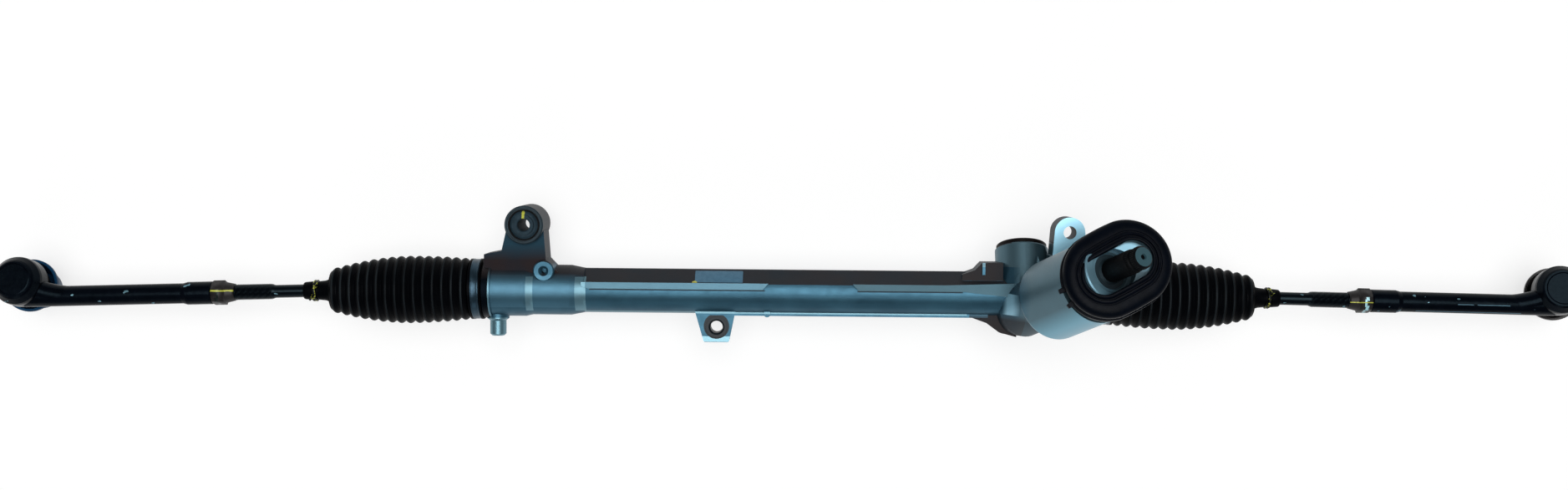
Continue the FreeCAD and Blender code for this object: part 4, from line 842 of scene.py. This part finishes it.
# %% Bend a grid to a tube
def wrapped_grid(tree, around, along, radius_rule, length, finish, crest_rule=None):
    """Close the tree: a grid bent to a tube whose radius follows a rule.

    The rule gets the distance along the tube and the share of a turn. A second rule
    may store how near each point is to a crest, for the finish to read.
    """
    grid = new_node(tree, "GeometryNodeMeshGrid", Size_X=1.0, Size_Y=1.0,
                    Vertices_X=around, Vertices_Y=along)
    position = tree.nodes.new("GeometryNodeInputPosition")
    split = new_node(tree, "ShaderNodeSeparateXYZ", Vector=position.outputs[0])
    share = Value(tree, split.outputs["X"]) + 0.5
    distance = (Value(tree, split.outputs["Y"]) + 0.5) * length
    radius = radius_rule(distance, share)
    angle = share * math.tau
    join = new_node(tree, "ShaderNodeCombineXYZ", X=radius * angle.math("COSINE"),
                    Y=radius * angle.math("SINE"), Z=distance)
    points = grid.outputs["Mesh"]
    if crest_rule:
        store = new_node(tree, "GeometryNodeStoreNamedAttribute", Name="crest",
                         Geometry=points, Value=crest_rule(distance))
        points = store.outputs["Geometry"]
    move = new_node(tree, "GeometryNodeSetPosition", Geometry=points,
                    Position=join.outputs[0])
    merge = new_node(tree, "GeometryNodeMergeByDistance", Distance=1e-4)
    realize = tree.nodes.new("GeometryNodeRealizeInstances")
    paint = new_node(tree, "GeometryNodeSetMaterial", Material=finish.material)
    leave = tree.nodes.new("NodeGroupOutput")
    chain = [move, merge, realize, paint, leave]
    for first, second in zip(chain, chain[1:]):
        tree.links.new(first.outputs[0], second.inputs[0])


def evaluated_mesh(carrier):
    """Plain mesh of what a carrier looks like. The carrier is then removed."""
    bpy.context.view_layer.update()
    evaluated = carrier.evaluated_get(bpy.context.evaluated_depsgraph_get())
    mesh = bpy.data.meshes.new_from_object(evaluated)
    bpy.data.objects.remove(carrier)
    return mesh


def grown(tree, sizes):
    """Evaluate a tree and return the plain mesh. A size not given keeps its default."""
    carrier = added("carrier", bpy.data.meshes.new("carrier"))
    modifier = carrier.modifiers.new("grow", "NODES")
    modifier.node_group = tree
    sockets = {item.name: item.identifier for item in tree.interface.items_tree
               if item.in_out == "INPUT"}
    for label, value in sizes.items():
        modifier[sockets[label]] = value
    return evaluated_mesh(carrier)


def closed_tube(mesh):
    """Cap the open ends of a tube and turn its faces outwards."""
    shape = bmesh.new()
    shape.from_mesh(mesh)
    rims = [edge for edge in shape.edges if edge.is_boundary]
    bmesh.ops.holes_fill(shape, edges=rims)
    return from_bmesh(mesh.name, shape)


print("each tree needs only a rule for the radius")

# %% [markdown]
# ## Threads and serrations
# A screw thread and a serration are the same thing: ridges round a bar, one that
# climbs and one that runs straight. The phase of a ridge is a count of turns round
# the bar plus a count along it. The fractional part of the phase, folded into a
# triangle, is the height of the ridge. The ends taper off as a rolled thread does.

# %% The ridge tree
ridge_sizes = {"Length": 30.0, "Radius": 6.0, "Ridge": 0.75, "Around ridges": 1.0,
               "Along ridges": 20.0, "Run out": 0.05, "Points around": 37,
               "Points along": 200}
ridge_tree, ridge = sized_tree("ridged_bar", ridge_sizes)


def ridge_rule(distance, share):
    """Radius of a bar with ridges of a triangular section."""
    along = distance / ridge["Length"]
    phase = share * ridge["Around ridges"] + along * ridge["Along ridges"]
    folded = abs(phase.math("FRACT") - 0.5) * 2.0
    ends = (abs(along - 0.5).from_one() - 0.5) / ridge["Run out"]
    fade = ends.at_most(1.0)
    return ridge["Radius"] + folded * fade * ridge["Ridge"]


wrapped_grid(ridge_tree, ridge["Points around"], ridge["Points along"], ridge_rule,
             ridge["Length"], black_rod)
print("the ridge tree has", len(ridge_tree.nodes), "nodes")

# %% [markdown]
# The length of a tie rod is set by its thread, which shows between the jam nut and
# the plain rod. The thread is a piece of its own, wrapped close round the packed
# rod, and it moves with that rod.

# %% Adjuster threads on the tie rods
THREAD_START = 124.5
THREAD_END = 158.5
THREAD_PITCH = 1.5
THREAD_ROOT = 6.12
THREAD_TURNS = (THREAD_END - THREAD_START) / THREAD_PITCH

for side in SIDES:
    sizes = {"Length": THREAD_END - THREAD_START, "Radius": THREAD_ROOT,
             "Along ridges": THREAD_TURNS, "Points along": int(THREAD_TURNS) * 8}
    mesh = closed_tube(grown(ridge_tree, sizes))
    place(mesh, side.ball + side.along * THREAD_START, side.along)
    keep(f"{side.name}_tie_rod_thread", mesh, black_rod,
         f"{side.name}_rod")
print("each thread has", round(THREAD_TURNS), "turns")

# %% [markdown]
# Fine straight ridges let the joint of the steering column grip the input shaft. The
# groove between the two bands is where its pinch bolt passes.

# %% Serrations on the input shaft
SERRATION_COUNT = 36
SERRATION_ROOT = 8.85

for label, start, end in (("lower", 159.2, 162.0), ("upper", 166.0, 170.6)):
    sizes = {"Length": end - start, "Radius": SERRATION_ROOT, "Ridge": 0.6,
             "Around ridges": float(SERRATION_COUNT), "Along ridges": 0.0,
             "Run out": 0.12, "Points around": SERRATION_COUNT * 4 + 1,
             "Points along": 12}
    mesh = closed_tube(grown(ridge_tree, sizes))
    place(mesh, PINION_POINT + PINION_WAY * start, PINION_WAY)
    keep(f"input_serrations_{label}", mesh, phosphate, "pinion")
    print(label, "band:", SERRATION_COUNT, "serrations over", round(end - start, 1), "mm")

# %% [markdown]
# ## Bellows
# The rubber bellows is a tube of round folds. It swells a little from its cuff,
# then narrows towards the tie rod. The radius is a slow curve less the depth of
# the folds, and the inside is the same curve one wall smaller. The grid runs out
# along the skin and back along the inside, so one sheet of points makes a wall.
#
# The rack slides inside and the tie rod swings, so a single piece can't follow both.
# The bellows is made as three pieces that meet in the bottom of a fold: the first
# with the cuff, a short second one, and the third with the neck.

# %% The fold tree
FOLDS = 15
FOLDED_LENGTH = 119.5
FOLD_PITCH = FOLDED_LENGTH / FOLDS
FIRST_ROOT = 1.0
PEAK_SHARE = 0.45
FIRST_CREST = 26.3
PEAK_RADIUS = 29.2
LAST_CREST = 18.9
FOLD_DEPTH = 2.2
WALL = 1.5

fold_sizes = {"Start": 0.0, "Length": 60.0, "Depth": FOLD_DEPTH, "Wall": WALL,
              "Points around": 97, "Points along": 200}
fold_tree, fold = sized_tree("bellows_folds", fold_sizes)


def out_and_back(distance):
    """Place along the bellows: out along the skin, then back along the inside."""
    travel = distance / fold["Length"]
    return fold["Start"] + (abs(travel - 1.0).from_one()) * fold["Length"]


def crest_rule(distance):
    """One on the crest of a fold and nought in its bottom."""
    phase = (out_and_back(distance) - FIRST_ROOT) / FOLD_PITCH
    wave = (phase * math.tau).math("COSINE") * -0.5 + 0.5
    return wave.at_least(0.0) ** 0.75


def fold_rule(distance, share):
    """Radius of the skin on the way out and of the inside on the way back."""
    inside = distance.above(fold["Length"])
    place_along = out_and_back(distance)
    share_along = place_along / FOLDED_LENGTH
    rise = (share_along * (-1 / PEAK_SHARE) + 1.0).at_least(0.0)
    fall = ((share_along - PEAK_SHARE) / (1 - PEAK_SHARE)).at_least(0.0)
    swell = rise ** 2.0 * (FIRST_CREST - PEAK_RADIUS) + PEAK_RADIUS
    swell = swell + fall ** 1.8 * (LAST_CREST - PEAK_RADIUS)
    rib_shadow_line = crest_rule(distance).from_one() * fold["Depth"]
    return swell - rib_shadow_line - inside * fold["Wall"]


wrapped_grid(fold_tree, fold["Points around"], fold["Points along"], fold_rule,
             fold["Length"] * 2.0, bellows_rubber, crest_rule)


def folded(start, end):
    """Wall of the bellows between two places along it."""
    rows = int((end - start) / FOLD_PITCH * 12) * 2 + 1
    mesh = grown(fold_tree, {"Start": start, "Length": end - start, "Points along": rows})
    length = end - start
    for vertex in mesh.vertices:
        vertex.co.z = start + length - abs(vertex.co.z - length)
    return mesh


def joined(name, meshes):
    """Several meshes as one, with its open rims bridged where they face each other."""
    shape = bmesh.new()
    for mesh in meshes:
        shape.from_mesh(mesh)
    bmesh.ops.remove_doubles(shape, verts=shape.verts, dist=2e-3)
    rims = [edge for edge in shape.edges if edge.is_boundary]
    if rims:
        bmesh.ops.bridge_loops(shape, edges=rims)
    return from_bmesh(name, shape)


print("the fold tree has", len(fold_tree.nodes), "nodes")

# %% [markdown]
# The ends aren't folded. The cuff has a groove for the clamp and slips over the end
# of the tube. The neck has a shallow groove for the spring clip, and a steep shoulder
# joins it to the last fold.

# %% Cuff and neck outlines
CUFF_START = -11.1
CUFF_RADIUS = 26.2
BAND_GROOVE = 24.95
CUFF_INSIDE = 21.8
NECK_END = 144.5
NECK_INSIDE = 5.9

cuff_outline = [
    (CUFF_START, CUFF_INSIDE), (CUFF_START, CUFF_RADIUS - 0.5),
    (CUFF_START + 0.5, CUFF_RADIUS), (-9.7, CUFF_RADIUS), (-9.6, BAND_GROOVE),
    (-2.4, BAND_GROOVE), (-2.3, CUFF_RADIUS), (-0.4, CUFF_RADIUS), (0.2, 24.4),
    (1.2, 21.6), (0.2, CUFF_INSIDE),
]
neck_outline = [
    (118.6, 16.0), (118.9, 17.6), (120.2, 16.9), (121.4, 13.0), (122.8, 9.9), (126.0, 8.7),
    (131.4, 8.1), (131.8, 7.5), (137.2, 7.5), (137.6, 8.0), (143.6, 7.5),
    (NECK_END, 7.0), (NECK_END, NECK_INSIDE), (124.0, NECK_INSIDE), (121.4, 8.2),
    (118.6, 14.5),
]
SLIDE_END = FIRST_ROOT + 9 * FOLD_PITCH
SWING_END = FIRST_ROOT + 10 * FOLD_PITCH
print("the bellows is", round(NECK_END - CUFF_START, 1), "mm long")

# %% [markdown]
# The pieces meet in the bottom of a fold, where their edges hardly show.

# %% Make the three pieces of each bellows
for side in SIDES:
    folds = joined("folds", [folded(FIRST_ROOT, SLIDE_END), spun("cuff", cuff_outline, 96)])
    place(folds, side.mouth, side.gaiter)
    sliding = keep(f"{side.name}_bellows_folds", folds, bellows_rubber)
    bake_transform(sliding)
    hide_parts(f"{side.name}_bellows")

    single = place(joined("single", [folded(SLIDE_END, SWING_END)]), side.mouth, side.gaiter)
    swinging = keep(f"{side.name}_bellows_turn", single, bellows_rubber)
    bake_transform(swinging)

    last = joined("last", [folded(SWING_END, FOLDED_LENGTH), spun("neck", neck_outline, 96)])
    place(last, side.mouth, side.gaiter)
    lifting = keep(f"{side.name}_bellows_neck", last, bellows_rubber)
    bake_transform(lifting)

# %% [markdown]
# ## Clamps and spring clips
# The big end of each bellows is held by a stainless band, closed by a pinched ear.
# A turned band with rolled edges and a folded ear does it. The small end is held
# by a spring clip: two turns of wire whose ends stand up to be squeezed. A bent
# wire is a curve with a round bevel, made a mesh before it is placed.

# %% Bellows clamps
BAND_MIDDLE = -6.0
BAND_HALF = 3.4
EAR_TURN = math.radians(130)


def clamp_ear():
    """Pinched ear: a flat loop of the band that stands proud, drawn about local Z."""
    outline = [(-3.4, 25.3), (-3.0, 26.4), (-2.0, 27.2), (-1.7, 29.2), (-0.9, 29.9),
               (0.9, 29.9), (1.7, 29.2), (2.0, 27.2), (3.0, 26.4), (3.4, 25.3)]
    outline = rounded_outline(outline, 0.5, 3)
    rings = [[(x, y, BAND_MIDDLE + z) for x, y in outline]
             for z in (-BAND_HALF + 0.5, -1.0, 1.0, BAND_HALF - 0.5)]
    return lofted("ear", rings, capped=True)


band_outline = rounded_outline([
    (BAND_MIDDLE - BAND_HALF, 25.0), (BAND_MIDDLE - BAND_HALF, 26.2),
    (BAND_MIDDLE - BAND_HALF + 0.9, 26.2), (BAND_MIDDLE - BAND_HALF + 1.1, 25.9),
    (BAND_MIDDLE + BAND_HALF - 1.1, 25.9), (BAND_MIDDLE + BAND_HALF - 0.9, 26.2),
    (BAND_MIDDLE + BAND_HALF, 26.2), (BAND_MIDDLE + BAND_HALF, 25.0),
], 0.25, 2)
for side in SIDES:
    shape = bmesh.new()
    shape.from_mesh(spun("band", band_outline, 128))
    shape.from_mesh(clamp_ear())
    mesh = place(stored("clamp", shape), side.mouth, side.gaiter, EAR_TURN)
    keep(f"{side.name}_clamp_band", mesh, band_steel, "housing",
         [f"{side.name}_bellows_clamp"])

# %% [markdown]
# The wire's path is worked out point by point: a low helix with a straight tang at
# each end. The tangs stand up on the side that the camera sees, as pliers reach them.

# %% Spring clips on the necks
WIRE = 0.95
CLIP_RADIUS = 8.45
TANG = 7.0


def clip_points(turns=2.0, steps=40):
    """Two close turns of wire with both ends bent outwards."""
    points = []
    count = int(turns * steps)
    opening = math.radians(24)
    start, end = opening, math.tau * turns - opening
    for index in range(count + 1):
        share = index / count
        angle = start + (end - start) * share
        height = (share - 0.5) * 2 * WIRE * turns * 1.02
        points.append((CLIP_RADIUS * math.cos(angle), CLIP_RADIUS * math.sin(angle), height))
    first, last = Vector(points[0]), Vector(points[-1])
    out_first = Vector((math.cos(start), math.sin(start), 0))
    out_last = Vector((math.cos(end), math.sin(end), 0))
    head = [tuple(first + out_first * TANG), tuple(first + out_first * 1.5)]
    tail = [tuple(last + out_last * 1.5), tuple(last + out_last * TANG)]
    return head + points + tail


def bent_wire(points, radius):
    """Round wire through points, as a plain mesh."""
    data = bpy.data.curves.new("wire", "CURVE")
    data.dimensions = "3D"
    data.bevel_depth = radius
    data.bevel_resolution = 3
    data.use_fill_caps = True
    spline = data.splines.new("POLY")
    spline.points.add(len(points) - 1)
    for point, (x, y, z) in zip(spline.points, points):
        point.co = (x, y, z, 1)
    return evaluated_mesh(added("wire", data))


for side in SIDES:
    tangs_up = math.pi if side.sign > 0 else 0.0
    mesh = place(bent_wire(clip_points(), WIRE), side.neck, side.along, tangs_up)
    keep(f"{side.name}_spring_clip", mesh, clip_steel, f"{side.name}_rod",
         [f"{side.name}_bellows_clip"])

# %% [markdown]
# ## Jam nuts as they were left
# A nut stops at whatever angle it bites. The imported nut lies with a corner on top,
# while the real ones were left with a flat facing up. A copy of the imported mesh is
# rolled about the rod's own axis, which changes nothing else.

# %% Roll the jam nuts
NUT_ROLL = math.radians(-22.5)

for side in SIDES:
    packed = f"{side.name}_jam_nut"
    shape = bmesh.new()
    shape.from_mesh(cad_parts[packed].data)
    mesh = from_bmesh("nut", shape, merge=0.001 * MM)
    centre = Matrix.Translation(row(*side.ball))
    roll = Matrix.Rotation(NUT_ROLL, 4, side.along * side.sign)
    mesh.transform(centre @ roll @ centre.inverted())
    keep(f"{side.name}_rolled_nut", mesh, nut_finishes[side.name],
         f"{side.name}_rod", [packed])
    print(side.name, "jam nut rolled by", round(math.degrees(NUT_ROLL), 1), "degrees")

# %% [markdown]
# ## Dust boots
# A small rubber boot closes each outer joint. It is pinched on the eye by a wire
# ring and grips the stud above the taper.

# %% Make the boots
boot_outline = rounded_outline([
    (9.35, 15.7), (9.35, 17.5), (10.1, 17.3), (12.2, 17.3), (13.4, 17.6), (14.8, 18.6),
    (16.6, 18.2), (18.6, 15.6), (21.0, 12.0), (22.6, 10.2), (25.0, 9.4), (25.0, 7.7),
    (21.0, 7.7), (16.8, 15.4), (13.6, 15.8),
], 0.7, 3)
for side in SIDES:
    mesh = place(spun("boot", boot_outline, 96), side.eye, side.stud)
    boot = keep(f"{side.name}_boot_rubber", mesh, bellows_rubber)
    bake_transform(boot)
    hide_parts(f"{side.name}_dust_boot")

# %% [markdown]
# ## The seal against the dash panel
# A thick oval rubber seal sits on the neck of the tower and is pressed against the
# dash panel. Its face has ridges that run round the mouth, its side has a groove,
# and a skirt narrows to a collar on the neck. All of it is one loft: ovals on the
# tilted face, then circles about the pinion, with the same count of points. A
# notch in the rim lets a rib of the casting through, with a tab at each side.

# %% Rings of the seal
SEAL_CENTRE = Vector((265.0, 30.5, 115.0))
SEAL_TILT = math.radians(15)
SEAL_TURN = math.radians(30)
SEAL_REACH = 9.0
MOUTH_REACH = 13.2
SEAL_RADIUS = 36.6
RIM_TO_MOUTH = 21.0
AROUND = 288
NOTCH_HALF = math.radians(6.7)
TAB_HALF = math.radians(13)
NOTCH_DEPTH = 4.5
TAB_HEIGHT = 3.0

seal_normal = Vector((0, math.sin(SEAL_TILT), math.cos(SEAL_TILT)))
longways = Vector((math.cos(SEAL_TURN), math.sin(SEAL_TURN), 0))
longways = (longways - seal_normal * longways.dot(seal_normal)).normalized()
sideways = seal_normal.cross(longways)
neck_along = (longways - PINION_WAY * longways.dot(PINION_WAY)).normalized()
neck_across = PINION_WAY.cross(neck_along)


def notch(angle):
    """How far the rim is cut in or stands out, by the place round the seal."""
    away = abs(angle - math.pi)
    if away < NOTCH_HALF:
        return -NOTCH_DEPTH
    if away < TAB_HALF:
        return TAB_HEIGHT
    return 0.0


def ring_of(point_at):
    """Ring of points from a rule that takes the angle."""
    return [row(*point_at(math.tau * index / AROUND)) for index in range(AROUND)]


def oval(inset, height, cut=0.0):
    """Ring on the tilted face: two half circles drawn apart, with a share of the notch."""
    reach = SEAL_REACH + (MOUTH_REACH - SEAL_REACH) * inset / RIM_TO_MOUTH

    def point_at(angle):
        outwards = SEAL_RADIUS - inset + notch(angle) * cut
        apart = reach * max(-1, min(1, math.cos(angle) * 5))
        return (SEAL_CENTRE + seal_normal * height
                + longways * (outwards * math.cos(angle) + apart)
                + sideways * (outwards * math.sin(angle)))
    return ring_of(point_at)


def neck_circle(radius, height):
    """Ring about the pinion axis."""
    return ring_of(lambda angle: PINION_POINT + PINION_WAY * height
                   + neck_along * (radius * math.cos(angle))
                   + neck_across * (radius * math.sin(angle)))


# Distance in from the rim, height on the face and share of the notch, from the side
# groove to the mouth
face_profile = [
    (5.0, -10.0), (0.6, -10.0, 1), (0.0, -9.4, 1), (0.0, -5.6, 1), (0.6, -5.0, 1),
    (2.8, -4.8, 0.3), (3.0, -4.4), (3.0, -1.4), (2.7, -1.0), (1.4, -0.9), (1.0, -0.5),
    (1.0, 2.0), (1.5, 3.6), (3.0, 5.2), (5.5, 6.4), (9.0, 7.2), (11.6, 7.2), (12.2, 6.4),
    (12.9, 6.4), (13.4, 7.5), (14.4, 8.2), (15.4, 8.2), (15.9, 7.5), (16.3, 6.7),
    (17.0, 6.7), (17.4, 7.9), (18.2, 8.9), (19.2, 9.2), (20.2, 9.0), (20.8, 8.2),
    (21.0, 7.0), (20.9, -0.6), (13.8, -0.6), (13.6, -4.0),
]
rings = [oval(*place_on_face) for place_on_face in face_profile]
rings += [
    neck_circle(25.15, 114.0), neck_circle(25.15, 109.2),
    neck_circle(28.4, 109.2), neck_circle(29.0, 110.5), oval(8.0, -9.0),
]
keep("dash_seal_rubber", lofted("seal", rings), seal_rubber, "housing",
     ["dash_seal"])
print("the seal has", len(rings), "rings of", AROUND, "points")

# %% [markdown]
# ## Label
# A pale sticker sits on the flat of the tube. It is a thin sheet with rounded
# corners that lies just on the casting, with slight mottling and a bevelled edge. A
# dab of the fitter's paint sits beside it.

# %% The blank label and a dab of paint
FACET_WAY = Vector((0, math.sin(math.radians(52)), math.cos(math.radians(52))))
FACET_DISTANCE = 16.8
LABEL_START, LABEL_END = -76.0, -35.0
LABEL_HALF = 7.4

label_film = Finish("label_film", (0.045, 0.13, 0.21), (0.08, 0.2, 0.3), (0.4, 0.55),
                    patch=220.0, grain=1700.0, height=0.006)
paint_film = Finish("paint_film", PAINT, (0.62, 0.58, 0.12), (0.4, 0.6), patch=400.0,
                    grain=1500.0, height=0.05)


def sheet_on_facet(name, corners, radius, thickness):
    """Thin sheet with rounded corners on the flat of the tube."""
    down = FACET_WAY.cross(ALONG)
    middle = (corners[0][0] + corners[2][0]) / 2
    rings = []
    for inset, height in ((0.0, 0.02), (0.0, thickness * 0.6), (0.12, thickness)):
        pull = 1 - inset / LABEL_HALF
        ring = []
        for x, aside in rounded_outline(corners, radius, 5):
            point = (ALONG * (middle + (x - middle) * pull) - down * (aside * pull)
                     + FACET_WAY * (FACET_DISTANCE + height))
            ring.append(row(*point))
        rings.append(ring)
    return lofted(name, rings, capped=True, merge=1e-7)


label = sheet_on_facet("label", [(LABEL_START, -LABEL_HALF), (LABEL_END, -LABEL_HALF),
                                 (LABEL_END, LABEL_HALF), (LABEL_START, LABEL_HALF)],
                       1.0, 0.12)
keep("blank_label", label, label_film, "housing")
dab = sheet_on_facet("dab", [(-78.6, 6.6), (-75.6, 5.4), (-73.8, 7.4), (-74.6, 9.6),
                             (-77.8, 9.4)], 1.2, 0.2)
keep("paint_dab", dab, paint_film, "housing")
print("the label is", LABEL_END - LABEL_START, "x", LABEL_HALF * 2, "mm")

# %% [markdown]
# ## Camera
# The photograph was taken from about a metre and a half above, looking almost
# straight down and a touch towards the operator's side. The gear runs very
# slightly downhill to the right, which is the roll of the camera.

# %% Camera
CAMERA_AT = (0.0, 126.0, 1440.0)
CAMERA_AIM = (0.0, 40.5, 0.0)
FOCAL_PIXELS = 2000.0
PICTURE_WIDTH = 1877.0
SENSOR = 36.0
ROLL = math.radians(0.54)

lens = bpy.data.cameras.new("camera")
lens.sensor_fit = "HORIZONTAL"
lens.sensor_width = SENSOR
lens.lens = SENSOR * FOCAL_PIXELS / PICTURE_WIDTH
lens.clip_start = 0.01
lens.clip_end = 100
camera = added("camera", lens)
back = (row(*CAMERA_AT) - row(*CAMERA_AIM)).normalized()
level_right = Vector((1, 0, 0))
level_up = back.cross(level_right)
right = level_right * math.cos(ROLL) + level_up * math.sin(ROLL)
picture_up = back.cross(right)
turn = Matrix((right, picture_up, back)).transposed().to_4x4()
camera.matrix_world = Matrix.Translation(row(*CAMERA_AT)) @ turn
bpy.context.scene.camera = camera
print("lens", round(lens.lens, 2), "mm, camera at", [round(v, 3) for v in camera.location])

# %% [markdown]
# ## Floor
# The floor is a wide pale disc just under the lowest point, with a low wall round
# it far away. What the camera and mirror-like surfaces see of it is lifted towards
# white, while the shadow of the gear still falls on it.

# %% Floor
FLOOR_RADIUS = 12.0
FLOOR_CORNERS = 64
WALL_HEIGHT = 2.2
PAPER = 0.3
GLOW = 0.74


def seen_directly(tree):
    """One for rays that show a background: camera, gloss and transmission."""
    path = tree.nodes.new("ShaderNodeLightPath")
    rays = [Value(tree, path.outputs[label])
            for label in ("Is Camera Ray", "Is Glossy Ray", "Is Transmission Ray")]
    return (rays[0] + rays[1] + rays[2]).at_most(1.0)


paper = bpy.data.materials.new("white_paper")
paper.use_nodes = True
tree = paper.node_tree
feed_all(tree, tree.nodes["Principled BSDF"], Base_Color=(PAPER, PAPER, PAPER, 1),
         Roughness=0.9, Specular_IOR_Level=0.0, Emission_Color=(1, 1, 1, 1),
         Emission_Strength=seen_directly(tree) * GLOW)

lowest = cad_box[0][2] - 0.0005
bowl = bmesh.new()
turns = [math.tau * index / FLOOR_CORNERS for index in range(FLOOR_CORNERS)]
rims = [[bowl.verts.new((FLOOR_RADIUS * math.cos(turn), FLOOR_RADIUS * math.sin(turn), height))
         for turn in turns] for height in (lowest, lowest + WALL_HEIGHT)]
bowl.faces.new(rims[0])
for index in range(len(turns)):
    after = (index + 1) % len(turns)
    bowl.faces.new((rims[0][after], rims[0][index], rims[1][index], rims[1][after]))
sheet = stored("floor", bowl)
sheet.materials.append(paper)
floor = added("floor", sheet)
print("the floor lies at", round(lowest, 4), "m, and its wall is", WALL_HEIGHT, "m high")

# %% [markdown]
# ## Light
# A broad soft sun stands almost overhead, as a softbox does over a table, and a dim
# even sky fills in. That puts a band of light along each round form and leaves its
# flanks dark.

# %% Sky and lamps
SKY = 0.16

world = bpy.data.worlds.new("sky")
bpy.context.scene.world = world
world.use_nodes = True
feed_all(world.node_tree, world.node_tree.nodes["Background"],
         Color=(0.9, 0.97, 1.0, 1), Strength=SKY)


def sun(name, towards, strength, spread, colour):
    """Soft sun that shines from a direction."""
    data = bpy.data.lights.new(name, "SUN")
    data.energy = strength
    data.angle = math.radians(spread)
    data.color = colour
    lamp = added(name, data)
    lamp.rotation_euler = Vector(towards).to_track_quat("Z", "Y").to_euler()


sun("high_sun", (0.05, 0.1, 1.0), 2.3, 45, (1.0, 0.99, 0.98))
sun("side_sun", (-0.1, -1.0, 0.5), 0.15, 25, (0.9, 0.97, 1.0))
bpy.context.scene.view_settings.view_transform = "Standard"
print("lights:", [lamp.name for lamp in bpy.data.lights], "over a sky of", SKY)
